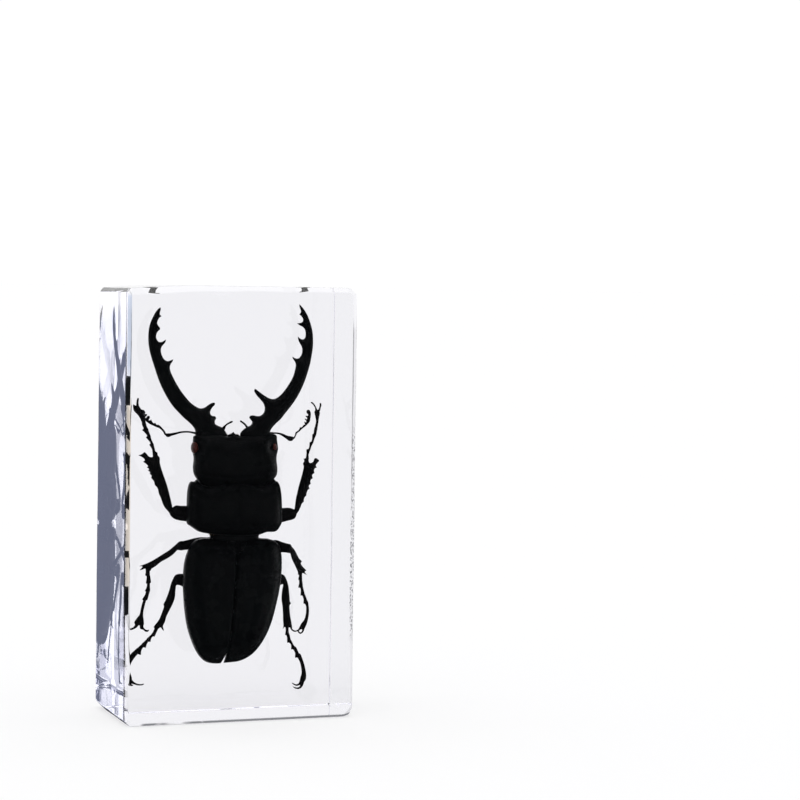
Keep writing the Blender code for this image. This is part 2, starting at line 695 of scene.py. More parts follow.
def resin_material():
    """Clear casting resin: plain transmission with a faint cool absorption. Its base colour carries painted shade
    and painted light: a painted contact shadow along the foot, a painted dark line and dark speckles where the right
    front edge is chipped, and painted amber and cool refracted colour on the sanded front left edge."""
    mat = bpy.data.materials.new("clear_resin")
    mat.use_nodes = True
    t = mat.node_tree
    s = t.nodes["Principled BSDF"]
    s.inputs["Metallic"].default_value = 0.0
    s.inputs["Roughness"].default_value = 0.0
    s.inputs["IOR"].default_value = RESIN_IOR
    s.inputs["Transmission Weight"].default_value = 1.0
    coord = t.nodes.new("ShaderNodeTexCoord")
    place = coord.outputs["Object"]
    split = t.nodes.new("ShaderNodeSeparateXYZ")
    t.links.new(place, split.inputs[0])
    x, y, z = split.outputs
    hx, hy = BOX_HI[0], BOX_HI[1]
    z0 = BOX_LO[2]
    # painted contact shadow: a dark line along the foot, on the sanded edges only
    foot = math_node(t, "MULTIPLY", ramp(t, z, z0 + 0.00062, z0 + 0.00040), ramp(t, z, z0 + 0.00002, z0 + 0.00010))
    wander = node(t, "ShaderNodeTexNoise", Scale=160.0, Detail=2.0, Roughness=0.5)
    t.links.new(place, wander.inputs["Vector"])
    reach = math_node(t, "MAXIMUM", ramp(t, y, -hy + 0.0030, -hy + 0.0020), ramp(t, x, -hx + 0.0030, -hx + 0.0020))
    strong = math_node(t, "MAXIMUM", ramp(t, x, -0.0072, -0.0062), ramp(t, wander.outputs["Fac"], 0.40, 0.56))
    foot = math_node(t, "MULTIPLY", math_node(t, "MULTIPLY", foot, strong), reach)
    # painted shade on the right front edge: a thin dark line, and dark speckles where the edge is chipped
    painted_edge_line = math_node(t, "MULTIPLY", ramp(t, x, hx - 0.00100, hx - 0.00088), ramp(t, x, hx - 0.00068, hx - 0.00078))
    front = ramp(t, y, -hy + 0.00022, -hy + 0.00010)
    span = math_node(t, "MULTIPLY", ramp(t, z, z0 + 0.034, z0 + 0.044), ramp(t, z, z0 + 0.0690, z0 + 0.0660))
    painted_edge_line = math_node(t, "MULTIPLY", math_node(t, "MULTIPLY", painted_edge_line, front), span)
    chips = node(t, "ShaderNodeTexNoise", Scale=2300.0, Detail=3.0, Roughness=0.65)
    t.links.new(place, chips.inputs["Vector"])
    zone = math_node(t, "MULTIPLY", ramp(t, x, hx - 0.00105, hx - 0.00090), ramp(t, y, -hy + 0.0012, -hy + 0.0010))
    zone = math_node(t, "MULTIPLY", zone, math_node(t, "MULTIPLY", ramp(t, z, z0 + 0.012, z0 + 0.016), ramp(t, z, z0 + 0.052, z0 + 0.046)))
    chip_shade_speckles = math_node(t, "MULTIPLY", ramp(t, chips.outputs["Fac"], 0.50, 0.56), zone)
    # the painted contact shadow, edge line and chip speckles together; they turn the base colour near-black
    dark = math_node(t, "MAXIMUM", math_node(t, "MAXIMUM", math_node(t, "MULTIPLY", foot, 0.93), math_node(t, "MULTIPLY", painted_edge_line, 0.85)), math_node(t, "MULTIPLY", chip_shade_speckles, 0.93))
    # painted refracted light on the sanded front left edge: a faint amber tint, and a cool one near the top
    band = math_node(t, "MULTIPLY", ramp(t, x, -hx + 0.00095, -hx + 0.00082), ramp(t, y, -hy + 0.00135, -hy + 0.00105))
    painted_amber_light = math_node(t, "MULTIPLY", band, math_node(t, "MULTIPLY", ramp(t, z, z0 + 0.021, z0 + 0.025), ramp(t, z, z0 + 0.0560, z0 + 0.0530)))
    painted_cool_light = math_node(t, "MULTIPLY", band, math_node(t, "MULTIPLY", ramp(t, z, z0 + 0.056, z0 + 0.061), ramp(t, z, z0 + 0.0725, z0 + 0.0715)))
    cast = t.nodes.new("ShaderNodeMix")
    cast.data_type = "RGBA"
    t.links.new(painted_amber_light, cast.inputs["Factor"])
    cast.inputs[6].default_value = (1.0, 1.0, 1.0, 1.0)
    cast.inputs[7].default_value = (0.85, 0.70, 0.52, 1.0)
    cast_cool = t.nodes.new("ShaderNodeMix")
    cast_cool.data_type = "RGBA"
    t.links.new(painted_cool_light, cast_cool.inputs["Factor"])
    t.links.new(cast.outputs[2], cast_cool.inputs[6])
    cast_cool.inputs[7].default_value = (0.42, 0.51, 0.68, 1.0)
    mix = t.nodes.new("ShaderNodeMix")
    mix.data_type = "RGBA"
    t.links.new(dark, mix.inputs["Factor"])
    t.links.new(cast_cool.outputs[2], mix.inputs[6])
    # near-black colour of the painted shade marks
    mix.inputs[7].default_value = (0.004, 0.006, 0.012, 1.0)
    t.links.new(mix.outputs[2], s.inputs["Base Color"])
    out = next(n for n in t.nodes if n.type == "OUTPUT_MATERIAL")
    absorb = t.nodes.new("ShaderNodeVolumeAbsorption")
    absorb.inputs["Color"].default_value = (*RESIN_TINT, 1.0)
    absorb.inputs["Density"].default_value = RESIN_DENSITY
    t.links.new(absorb.outputs["Volume"], out.inputs["Volume"])
    return mat


RESIN_IOR = 1.53
RESIN_TINT = (0.940, 0.938, 0.958)
RESIN_DENSITY = 66.0


# ------------------------------------------------------------------------------------------------
# the resin block
# ------------------------------------------------------------------------------------------------
SOFT = 0.13          # mm, how round the buffing left the borders of the flats
MARGIN = 2.2         # mm, width of the finely divided band along each edge
TOP_DROP = 0.60      # mm, how much lower the uneven top is at its left end

FACES = [np.array(v, float) for v in ((1, 0, 0), (-1, 0, 0), (0, 1, 0), (0, -1, 0), (0, 0, 1), (0, 0, -1))]
CORNERS = [np.array((i, j, k), float) for i in (-1, 1) for j in (-1, 1) for k in (-1, 1)]

# leg in mm of the sanded flat on each edge, at its two ends: from foot to top on upright edges, from
# left to right and from front to back on the others
EDGE_LEGS = {
    (1, -1, 0): (0.80, 0.92),
    (-1, 1, 0): (0.35, 0.45),
    (1, 1, 0): (0.05, 0.05),
    (0, -1, 1): (1.15, 0.75),
    (0, 1, 1): (0.40, 0.35),
    (-1, 0, 1): (0.62, 0.58),
    (1, 0, 1): (1.10, 0.90),
    (0, -1, -1): (0.50, 0.50),
    (0, 1, -1): (0.10, 0.10),
    (-1, 0, -1): (0.75, 1.30),
    (1, 0, -1): (0.28, 0.26),
}
EDGES = [np.array(k, float) for k in EDGE_LEGS]
CORNER_CUT = {(-1, 1, -1): 1.2, (-1, -1, -1): 1.1, (1, -1, 1): 0.9, (1, -1, -1): 1.5, (-1, 1, 1): 0.7}


def edge_leg(n, p):
    """Leg of the flat on one edge. The edges were sanded by hand, so it wanders along them."""
    a, b = EDGE_LEGS[tuple(int(v) for v in n)]
    axis = [i for i in range(3) if n[i] == 0][0]
    t = p[:, axis] / BLOCK[axis] + 0.5
    k = n[0] * 1.7 + n[1] * 2.3 + n[2] * 0.9
    s = p[:, axis]
    return (a + (b - a) * t) * (1.0 + 0.07 * np.sin(0.23 * s + k) + 0.04 * np.sin(0.61 * s + 2.0 * k))


def side_inset(p):
    """The left face is not quite square to the front: how far it stands inside the box."""
    t = np.clip(0.5 - p[:, 1] / BLOCK[1], 0.0, 1.0)
    h = np.clip(p[:, 2] / BLOCK[2] + 0.5, 0.0, 1.0)
    return t * (0.40 - 0.10 * h) + (1.0 - t) * 0.20 * h * h


def top_drop(p):
    """The top was sanded by hand too and falls off towards its left end."""
    u = np.clip((-p[:, 0] - 7.0) / (BLOCK[0] / 2.0 - 7.0), 0.0, 1.2)
    return TOP_DROP * u**1.6 + 0.10 * (p[:, 0] / BLOCK[0] * 2.0) ** 2 * (p[:, 0] > 0)


def block_field(p):
    """Smooth convex field: zero on the surface of the casting, negative inside. Points in mm."""
    half = BLOCK / 2.0
    total = np.zeros(len(p))
    drop = top_drop(p)
    for n in FACES:
        d = np.full(len(p), abs(n) @ half)
        if n[2] > 0:
            d = d - drop
        if n[0] < 0:
            d = d - side_inset(p)
        if n[2] >= 0:
            k = 1.3 * n[0] + 2.1 * n[1] + 0.7 * n[2]
            d = d - 0.016 + WAVE * (
                0.010 * np.sin(0.23 * p[:, 0] + 0.31 * p[:, 1] + 0.17 * p[:, 2] + 0.4 + k)
                + 0.006 * np.sin(-0.37 * p[:, 0] + 0.22 * p[:, 1] + 0.29 * p[:, 2] + 2.1 - k)
                + 0.003 * np.sin(0.51 * p[:, 0] - 0.43 * p[:, 1] + 0.47 * p[:, 2] + 4.0 + 2 * k)
            )
        if n[0] < 0:
            left = p @ n - d
        else:
            total += np.maximum(0.0, p @ n - d + SOFT) ** 2
    for n in EDGES:
        d = (abs(n) @ half - edge_leg(n, p)) / math.sqrt(2.0)
        if n[2] > 0:
            d = d - drop / math.sqrt(2.0)
        if n[0] < 0:
            d = d - side_inset(p) / math.sqrt(2.0)
        total += np.maximum(0.0, p @ n / math.sqrt(2.0) - d + SOFT) ** 2
    # the front left edge: a long, slightly round facet that leans only 20 degrees off the left face
    h = np.clip(p[:, 2] / BLOCK[2] + 0.5, 0.0, 1.0)
    lean = math.radians(FACET_LEAN)
    n = np.array([-math.cos(lean), -math.sin(lean)])
    at = np.stack([-half[0] + FACET_AT[0] + 0.08 * (1.0 - h), np.full(len(p), -half[1] + FACET_AT[1])], axis=1)
    rel = p[:, :2] - at
    u = np.abs(rel @ np.array([-n[1], n[0]]))
    bulge = np.where(u < 0.85, u * u, 0.85 * (2.0 * u - 0.85)) / (2.0 * FACET_ROUND)
    facet = rel @ n + bulge
    both = 0.5 * (left + facet) + 0.5 * np.sqrt((left - facet) ** 2 + 0.012**2)
    total += np.maximum(0.0, both + SOFT) ** 2
    for n in CORNERS:
        legs = [np.mean(EDGE_LEGS[tuple(int(v) for v in e)]) for e in EDGES if np.all((e == 0) | (e == n))]
        cut = 0.5 * sum(legs) + CORNER_CUT.get(tuple(int(v) for v in n), 0.25)
        d = (half.sum() - cut) / math.sqrt(3.0)
        if n[2] > 0:
            d = d - drop / math.sqrt(3.0)
        total += np.maximum(0.0, p @ n / math.sqrt(3.0) - d + SOFT) ** 2
    return np.sqrt(total) - SOFT


FACET_AT = (0.56, 0.73)
FACET_LEAN = 17.3
FACET_ROUND = 10.8
WAVE = 1.0


def make_block(material):
    half = BLOCK / 2.0
    angles = np.radians([10.0, 17.0, 21.0, 24.0, 26.5, 29.0, 32.0, 36.0, 40.5, 43.2, 44.5])
    border = list(np.tan(angles) * MARGIN) + [MARGIN]

    def lines(axis):
        inner = half[axis] - MARGIN
        n = max(4, int(round(2.0 * inner / 1.8)))
        flat = list(np.linspace(-inner, inner, n + 1))
        return np.array([-(inner + b) for b in border[::-1]] + flat + [inner + b for b in border])

    cage, faces, index = [], [], {}

    def corner(p):
        key = tuple(np.round(p, 5))
        if key not in index:
            index[key] = len(cage)
            cage.append(p)
        return index[key]

    for axis in range(3):
        u, v = [a for a in range(3) if a != axis]
        lu, lv = lines(u), lines(v)
        for side in (-1, 1):
            grid = []
            for a in lu:
                row = []
                for b in lv:
                    p = np.zeros(3)
                    p[axis], p[u], p[v] = side * half[axis], a, b
                    row.append(corner(p))
                grid.append(row)
            for i in range(len(lu) - 1):
                for j in range(len(lv) - 1):
                    f = (grid[i][j], grid[i + 1][j], grid[i + 1][j + 1], grid[i][j + 1])
                    flip = (side < 0) ^ (axis == 1)
                    faces.append(f[::-1] if flip else f)
    cage = np.array(cage)
    inner = np.clip(cage, -(half - MARGIN), half - MARGIN)
    ray = cage - inner
    lo, hi = np.zeros(len(cage)), np.full(len(cage), 1.3)
    for _ in range(40):
        t = 0.5 * (lo + hi)
        out = block_field(inner + ray * t[:, None]) > 0.0
        hi = np.where(out, t, hi)
        lo = np.where(out, lo, t)
    co = inner + ray * (0.5 * (lo + hi))[:, None]
    eps = 1e-3
    nrm = np.stack([block_field(co + eps * e) - block_field(co - eps * e) for e in np.eye(3)], axis=1)
    nrm /= np.linalg.norm(nrm, axis=1)[:, None]
    co = co + BLOCK_MID
    me = bpy.data.meshes.new("resin_casting")
    me.from_pydata([tuple(c * 0.001) for c in co], [], faces)
    me.shade_smooth()
    me.normals_split_custom_set_from_vertices([tuple(n) for n in nrm])
    me.materials.append(material)
    obj = bpy.data.objects.new("resin_casting", me)
    COLL.objects.link(obj)
    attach(obj, BODY)
    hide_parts("resin_block")
    return obj


# ------------------------------------------------------------------------------------------------
# the beetle: measured outlines in mm, x and z, relative to the middle of the block's foot
# ------------------------------------------------------------------------------------------------
OUTLINES = {
    "elytra": [
        (0.51, 30.43), (-1.79, 30.6), (-3.91, 30.69), (-5.31, 30.69), (-6.54, 30.36), (-7.4, 29.49),
        (-7.97, 28.23), (-8.39, 26.7), (-8.58, 25.01), (-8.63, 22.96), (-8.54, 21.09), (-8.42, 19.38),
        (-8.21, 17.66), (-7.93, 16.03), (-7.5, 14.48), (-6.96, 13.01), (-6.31, 11.62), (-5.63, 10.57),
        (-4.83, 9.77), (-3.95, 9.34), (-2.89, 9.16), (-1.83, 9.14, 1), (-0.82, 10.99, 1), (-1.32, 9.21, 1),
        (-0.15, 9.27), (1.09, 9.39), (2.42, 9.82), (3.75, 10.64), (5.07, 12.07), (6.12, 13.76), (6.91, 15.55),
        (7.49, 17.43), (7.97, 19.4), (8.38, 21.29), (8.64, 23.18), (8.8, 24.91), (8.82, 26.46), (8.69, 28.02),
        (8.32, 29.23), (7.45, 30.01), (6.2, 30.38), (4.59, 30.52), (2.63, 30.51),
    ],
    "pronotum": [
        (-6.35, 40.73), (-6.67, 40.39), (-7.36, 40.37), (-7.68, 39.86), (-7.88, 38.93), (-7.96, 37.57),
        (-7.96, 36.04), (-7.93, 34.51), (-7.93, 33.22), (-7.4, 32.8), (-6.77, 32.36), (-6.11, 31.92),
        (-5.29, 31.65), (-4.41, 31.48), (-3.53, 31.32), (0.63, 30.89), (4.71, 31.09), (5.33, 31.28),
        (6.04, 31.51), (6.94, 31.49), (7.65, 31.59), (8.1, 31.93), (8.45, 32.49), (8.74, 33.09), (8.74, 34.55),
        (8.71, 36.1), (8.62, 37.66), (8.48, 38.78), (8.27, 39.64), (7.96, 40.14), (7.58, 40.32), (7.33, 40.63),
        (6.75, 40.01), (5.59, 39.56), (4.16, 39.92), (2.56, 40.56), (0.52, 40.83), (-1.51, 40.58),
        (-3.09, 40.02), (-4.58, 39.67), (-5.73, 40.09),
    ],
    "head": [
        (-6.86, 48.04), (-6.92, 47.4), (-6.97, 46.72), (-7.01, 45.87), (-6.92, 45.1), (-6.77, 44.42),
        (-6.8, 43.66), (-6.89, 42.72), (-6.78, 41.79), (-6.51, 41.17), (-6.19, 40.72), (-5.57, 39.9),
        (-4.42, 39.03), (-1.77, 38.56), (0.61, 38.44), (3.01, 38.49), (5.32, 38.89), (6.65, 39.82),
        (7.37, 40.65), (7.79, 41.19), (7.94, 42.07), (7.88, 42.98), (7.74, 43.84), (7.79, 44.65), (7.96, 45.3),
        (8.06, 45.9), (7.98, 46.51), (7.85, 47.28), (7.8, 48.05), (6.99, 48.42), (5.21, 48.43), (3.08, 48.28),
        (1.39, 47.98), (0.69, 47.97), (0.45, 48.16), (0.12, 48.37), (-0.23, 48.09), (-0.82, 47.96),
        (-2.58, 48.25), (-4.69, 48.4), (-6.09, 48.27),
    ],
    "mandible_left": [
        (-11.69, 69.82, 1), (-11.65, 69.45), (-11.81, 68.97), (-11.88, 68.53), (-11.51, 68.27, 1),
        (-11.96, 67.99), (-12.25, 67.58), (-12.4, 67.07), (-12.26, 66.67), (-11.98, 66.33), (-11.95, 66.01),
        (-12.25, 65.76), (-12.53, 65.42), (-12.72, 64.84), (-12.61, 64.3), (-12.32, 63.93), (-11.81, 63.9),
        (-11.37, 64.12), (-11, 64.41, 1), (-11.12, 63.87), (-11.51, 63.45), (-11.88, 63.01), (-12.03, 62.39),
        (-11.87, 61.63), (-11.49, 60.96), (-10.96, 60.69), (-10.39, 60.84), (-9.86, 61.08, 1), (-10.09, 60.59),
        (-10.47, 60.12), (-10.61, 59.6), (-10.5, 58.92), (-10.09, 57.98), (-9.54, 56.9), (-8.84, 55.78),
        (-8.06, 54.75), (-7.2, 53.78), (-6.33, 53.1), (-5.46, 52.71), (-4.71, 52.81), (-3.99, 53.26),
        (-3.33, 53.62), (-2.82, 53.63), (-2.84, 53.28), (-3.32, 52.79), (-3.67, 52.2), (-3.7, 51.71),
        (-3.36, 51.42), (-2.89, 51.36), (-2.67, 51.02), (-2.91, 50.62), (-2.96, 50.13), (-2.46, 49.79),
        (-1.7, 49.46), (-1.32, 49.02), (-0.98, 48.48), (-0.81, 47.75), (-1.44, 46.82), (-3.57, 46),
        (-5.49, 46.35), (-6.42, 47.54), (-6.42, 48.39), (-6.45, 49.06), (-6.79, 49.66), (-7.46, 50.34),
        (-8.32, 51.09), (-9.16, 51.93), (-10.01, 52.84), (-10.79, 53.93), (-11.54, 55.18), (-12.23, 56.58),
        (-12.79, 58.08), (-13.25, 59.61), (-13.68, 61.12), (-13.99, 62.55), (-14.11, 63.89), (-14.06, 65.07),
        (-13.88, 66.25), (-13.58, 67.2), (-13.08, 68.18), (-12.6, 68.98), (-12.1, 69.55),
    ],
    "mandible_right": [
        (12.94, 70.66, 1), (12.98, 70.07), (13.18, 69.47), (13.12, 69.04), (12.82, 68.81, 1), (13.17, 68.52),
        (13.5, 68), (13.4, 67.55), (12.97, 67.34), (12.28, 67.27, 1), (12.8, 66.89), (13.34, 66.64),
        (13.7, 66.18), (13.77, 65.42), (13.57, 64.73), (13.15, 64.49), (12.69, 64.66), (12.3, 65.09, 1),
        (12.34, 64.38), (12.58, 63.79), (12.87, 63.19), (12.9, 62.5), (12.6, 61.72), (12.11, 61.27),
        (11.55, 61.27), (10.94, 61.66, 1), (11.1, 61.13), (11.4, 60.69), (11.52, 60.11), (11.36, 59.34),
        (10.99, 58.3), (10.37, 57.24), (9.56, 56.08), (8.65, 55.05), (7.83, 54.47), (7.11, 54.31),
        (6.4, 54.51), (5.43, 55.09), (4.62, 55.68), (4.02, 56.07), (3.84, 55.74), (4.25, 54.99), (4.93, 54.23),
        (5.5, 53.52), (5.73, 52.77), (5.59, 52), (5.05, 51.51), (4.34, 51.41), (3.63, 51.55), (3.08, 51.41),
        (2.95, 51.09), (3.24, 50.73), (3.5, 50.3), (3.18, 49.81), (2.67, 49.61), (2.21, 49.32), (1.68, 48.9),
        (1.32, 48.35), (1.41, 47.58), (2.21, 46.64), (4.17, 45.85), (5.77, 46.18), (6.72, 47.37), (6.57, 48.4),
        (6.84, 49.12), (7.62, 50.02), (8.53, 50.82), (9.34, 51.8), (10.24, 52.86), (11.23, 54.16),
        (12.16, 55.67), (12.97, 57.38), (13.74, 59.26), (14.41, 61.31), (14.88, 63.2), (15.05, 64.74),
        (15.03, 66.12), (14.74, 67.53), (14.27, 68.84), (13.69, 69.8),
    ],
    "palp_left": [
        (-1.88, 48.85), (-1.71, 49.43), (-1.26, 49.87), (-0.66, 50.28), (-0.03, 50.57), (0.22, 50.51),
        (0.08, 50.28), (-0.48, 50.04), (-1.01, 49.65), (-1.28, 49.02),
    ],
    "palp_right": [
        (3.16, 48.99), (2.87, 49.57), (2.44, 50.07), (1.96, 50.45), (1.53, 50.66), (1.39, 50.47),
        (1.73, 50.21), (2.21, 49.82), (2.54, 49.3), (2.65, 48.82),
    ],
    "leg_front_left.femur": [
        (-5.45, 36.14), (-7.06, 36.14), (-8.68, 36.18), (-9.68, 36.27), (-10.07, 36.11), (-10.36, 35.77),
        (-10.68, 35.33), (-10.68, 34.68), (-10.33, 34.26), (-9.74, 33.88), (-8.84, 33.63), (-7.75, 33.46),
        (-6.67, 33.24), (-5.42, 33.13),
    ],
    "leg_front_left.tibia": [
        (-10.35, 36.1), (-10.67, 37.16), (-11.09, 38.32), (-11.51, 39.39), (-11.99, 40.45), (-12.55, 41.68),
        (-13.09, 42.9), (-13.36, 43.76), (-13.45, 44.72), (-13.75, 45.05), (-13.88, 45.57), (-14.27, 45.66),
        (-14.64, 44.82), (-15.25, 44.86), (-15.64, 45.27), (-16.05, 45.64), (-16.5, 45.31), (-17.25, 45.11, 1),
        (-16.67, 44.88), (-16.22, 44.59), (-16, 44.24), (-16.38, 44, 1), (-15.98, 43.79), (-15.59, 43.48),
        (-15.37, 43.22), (-15.68, 43.04, 1), (-15.29, 42.83), (-15.2, 42.66), (-15.49, 42.5, 1),
        (-15.08, 42.28), (-14.96, 42.11), (-15.12, 41.92, 1), (-14.72, 41.67), (-14.65, 41.44),
        (-14.79, 41.27, 1), (-14.44, 40.92), (-14.12, 40.5), (-13.98, 39.98, 1), (-13.44, 39.44),
        (-13.21, 38.91), (-13.08, 38.45, 1), (-12.76, 37.93), (-12.39, 37.21), (-12.11, 36.59),
        (-11.64, 35.88), (-11.08, 35.3), (-10.59, 34.84), (-10.22, 35.14),
    ],
    "leg_front_left.tarsus_1": [
        (-14.52, 44.7), (-14.03, 44.7), (-14.24, 45.96), (-14.48, 46.8), (-14.65, 47.1), (-14.98, 47.04),
        (-15.3, 46.87, 1), (-15.06, 46.55), (-14.79, 46.05),
    ],
    "leg_front_left.tarsus_2": [
        (-14.75, 46.55), (-14.44, 46.66), (-14.82, 47.64), (-15.18, 48.38), (-15.53, 48.35),
        (-15.89, 48.08, 1), (-15.54, 47.74), (-15.13, 47.22),
    ],
    "leg_front_left.tarsus_3": [
        (-15.25, 47.81), (-14.96, 47.97), (-15.31, 49.06), (-15.58, 49.72), (-16.06, 49.69),
        (-16.54, 49.32, 1), (-16.09, 48.93), (-15.65, 48.41),
    ],
    "leg_front_left.tarsus_4": [
        (-15.78, 49.02), (-15.48, 49.21), (-15.72, 50.05), (-15.96, 50.74), (-16.4, 50.66), (-16.57, 50.33, 1),
        (-16.28, 49.69),
    ],
    "leg_front_left.tarsus_5": [
        (-16.23, 50.07), (-15.87, 50.22), (-15.96, 51.07), (-16.06, 51.83), (-16.33, 52.43), (-16.67, 52.86),
        (-17.01, 53.33), (-17.45, 53.4), (-17.93, 53.2), (-17.96, 52.67), (-17.62, 52.23), (-17.15, 51.73),
        (-16.78, 51.13), (-16.54, 50.56),
    ],
    "leg_front_left.claw_a": [
        (-17.42, 52.92), (-17.48, 53.67), (-17.38, 54.42), (-17.21, 54.74), (-17.02, 54.6), (-17.07, 53.92),
        (-17.04, 53),
    ],
    "leg_front_left.claw_b": [
        (-17.9, 52.75), (-18.05, 53.23), (-18.01, 53.67, 1), (-17.72, 53.5), (-17.49, 53.03),
    ],
    "leg_front_right.femur": [
        (6.99, 35.48), (8.4, 35.47), (9.44, 35.48), (10.45, 35.51), (11.04, 35.34), (11.39, 35.12),
        (11.77, 34.63), (11.53, 33.69), (11.03, 33.4), (10.17, 33.2), (9.31, 32.98), (8.26, 32.79),
        (7.02, 32.63),
    ],
    "leg_front_right.tibia": [
        (11.33, 35.37), (11.36, 36.9), (11.44, 38.15), (11.52, 39.41), (11.67, 40.67), (11.83, 41.91),
        (11.87, 42.86), (11.68, 43.43), (11.87, 43.84), (11.62, 44.34, 1), (12, 44.3), (12.31, 44.57),
        (12.65, 44.46), (12.68, 43.87), (12.95, 43.5), (13.47, 43.67), (13.68, 44.25), (13.89, 44.37),
        (14.6, 43.88), (14.27, 43.43), (14.06, 43.08), (14.34, 42.64, 1), (13.94, 42.56), (13.83, 42.19),
        (14.01, 41.66, 1), (13.69, 41.52), (13.61, 41.25), (13.86, 40.79, 1), (13.52, 40.58), (13.45, 40.19),
        (13.6, 39.77, 1), (13.34, 39.59), (13.29, 39.34), (13.55, 38.92, 1), (13.27, 38.73), (13.12, 38.15),
        (13.17, 37.65, 1), (12.93, 37.43), (12.81, 37.04), (12.86, 36.57, 1), (12.55, 36.25), (12.35, 35.54),
        (12.08, 34.83), (11.6, 34.28), (11.28, 34.77),
    ],
    "leg_front_right.tarsus_1": [
        (12.15, 44.1), (12.64, 44.1), (12.6, 44.88), (12.76, 45.71), (12.55, 45.95), (12.11, 45.85, 1),
        (12.18, 45.23),
    ],
    "leg_front_right.tarsus_2": [
        (12.39, 45.26), (12.78, 45.57), (13.05, 46.43), (13.28, 46.94), (13.03, 47.18), (12.64, 47.08, 1),
        (12.63, 46.4),
    ],
    "leg_front_right.tarsus_3": [
        (12.87, 46.6), (13.27, 46.84), (13.54, 47.7), (13.75, 48.24), (13.53, 48.55), (13.1, 48.45, 1),
        (13.08, 47.7),
    ],
    "leg_front_right.tarsus_4": [
        (13.29, 47.87), (13.71, 48.07), (13.95, 49), (14.02, 49.58), (13.69, 49.75), (13.51, 49.62),
        (13.36, 48.83),
    ],
    "leg_front_right.tarsus_5": [
        (13.54, 49.26), (13.91, 49.25), (14.15, 50.19), (14.29, 51.22), (14.45, 52.18), (14.22, 52.55),
        (13.84, 52.66), (13.46, 52.35), (13.59, 51.6), (13.74, 50.71),
    ],
    "leg_front_right.claw_a": [
        (13.68, 52.25), (13.56, 52.93), (13.26, 53.44), (12.93, 53.73), (12.77, 53.9), (13.03, 53.99),
        (13.43, 53.68), (13.76, 53.17), (14, 52.42),
    ],
    "leg_front_right.claw_b": [
        (14.04, 52.35), (14.27, 52.89), (14.41, 53.39), (14.41, 53.78), (14.61, 53.81), (14.77, 53.51),
        (14.63, 53), (14.4, 52.35),
    ],
    "leg_mid_left.femur": [
        (-2.96, 30.61), (-4.05, 30.69), (-5.34, 30.74), (-6.44, 30.61), (-7.58, 30.39), (-8.42, 30.25),
        (-9.12, 30.21), (-9.53, 29.93), (-9.68, 29.32), (-9.48, 28.78), (-9.03, 28.63), (-8.33, 28.67),
        (-7.58, 28.7), (-6.44, 28.52), (-4.95, 28.37), (-2.93, 28.29),
    ],
    "leg_mid_left.tibia": [
        (-9.35, 30), (-10.04, 29.4), (-10.8, 28.66), (-11.73, 27.99), (-12.66, 27.32), (-13.52, 26.76),
        (-14.4, 26.3), (-14.99, 26.09), (-15.84, 25.87, 1), (-14.99, 25.78), (-15.28, 25.46),
        (-15.6, 25.11, 1), (-15.03, 25.25), (-14.55, 25.44), (-13.88, 25.32), (-13.58, 24.97, 1),
        (-13.4, 25.38), (-12.75, 25.89), (-11.98, 26.6), (-11.11, 27.13), (-10.26, 27.76), (-9.72, 28.36),
        (-9.34, 28.93),
    ],
    "leg_mid_left.tarsus_1": [
        (-14.43, 25.54), (-13.85, 25.53), (-13.7, 24.92), (-13.66, 24.29, 1), (-13.99, 24.19),
        (-14.51, 24.17, 1), (-14.44, 24.86),
    ],
    "leg_mid_left.tarsus_2": [
        (-14.17, 24.51), (-13.77, 24.5), (-13.51, 23.63), (-13.41, 23.01, 1), (-13.79, 22.82),
        (-14.38, 22.87, 1), (-14.26, 23.65),
    ],
    "leg_mid_left.tarsus_3": [
        (-14.07, 23.05), (-13.69, 23.04), (-13.59, 22.18), (-13.53, 21.54, 1), (-13.98, 21.55),
        (-14.55, 21.5, 1), (-14.2, 22.28),
    ],
    "leg_mid_left.tarsus_4": [
        (-14.12, 21.76), (-13.63, 21.75), (-13.79, 20.81), (-14.02, 19.94, 1), (-14.41, 20.12),
        (-15.03, 20.07, 1), (-14.52, 20.83),
    ],
    "leg_mid_left.tarsus_5": [
        (-14.58, 20.32), (-14.2, 20.31), (-14.43, 19.2), (-14.65, 18.18), (-14.7, 17.33), (-14.59, 16.48),
        (-14.63, 15.77), (-15.11, 15.65), (-15.59, 15.87), (-16.06, 15.85), (-16.29, 16.27), (-15.88, 16.93),
        (-15.36, 17.59), (-15.12, 18.71), (-14.85, 19.73),
    ],
    "leg_mid_left.claw_a": [
        (-15.67, 16.26), (-15.5, 15.83), (-15.93, 15.34), (-16.48, 15.08), (-16.93, 14.98), (-16.91, 15.3),
        (-16.48, 15.49), (-16.16, 15.85),
    ],
    "leg_mid_left.claw_b": [
        (-15.22, 16.16), (-14.7, 16.14), (-14.66, 15.56), (-14.45, 15.18), (-14.06, 14.94), (-13.68, 15.03),
        (-13.83, 14.65), (-14.3, 14.63), (-14.76, 14.99), (-15.23, 15.17),
    ],
    "leg_mid_right.femur": [
        (4.68, 30.43), (5.73, 30.31), (6.63, 30.29), (7.38, 30.05), (8.21, 30.01), (9, 29.71), (9.8, 29.47),
        (10.34, 29.33), (10.62, 28.92), (10.7, 28.3), (10.51, 27.76), (9.54, 27.89), (8.82, 27.91),
        (7.86, 27.79), (6.39, 27.69), (4.71, 27.77),
    ],
    "leg_mid_right.tibia": [
        (10.21, 29.14), (10.67, 28.87), (11.25, 28.34), (11.9, 27.5), (12.47, 26.67), (13.14, 26.1, 1),
        (12.94, 25.77), (13.45, 25.09), (14.17, 24.42, 1), (13.85, 24.22), (14.36, 23.53, 1), (13.61, 23.9),
        (13.24, 24.06), (12.89, 23.82), (12.47, 23.55, 1), (12.61, 24.04), (12.23, 24.74), (11.69, 25.61),
        (10.98, 26.71), (10.51, 27.69), (10.04, 28.41),
    ],
    "leg_mid_right.tarsus_1": [
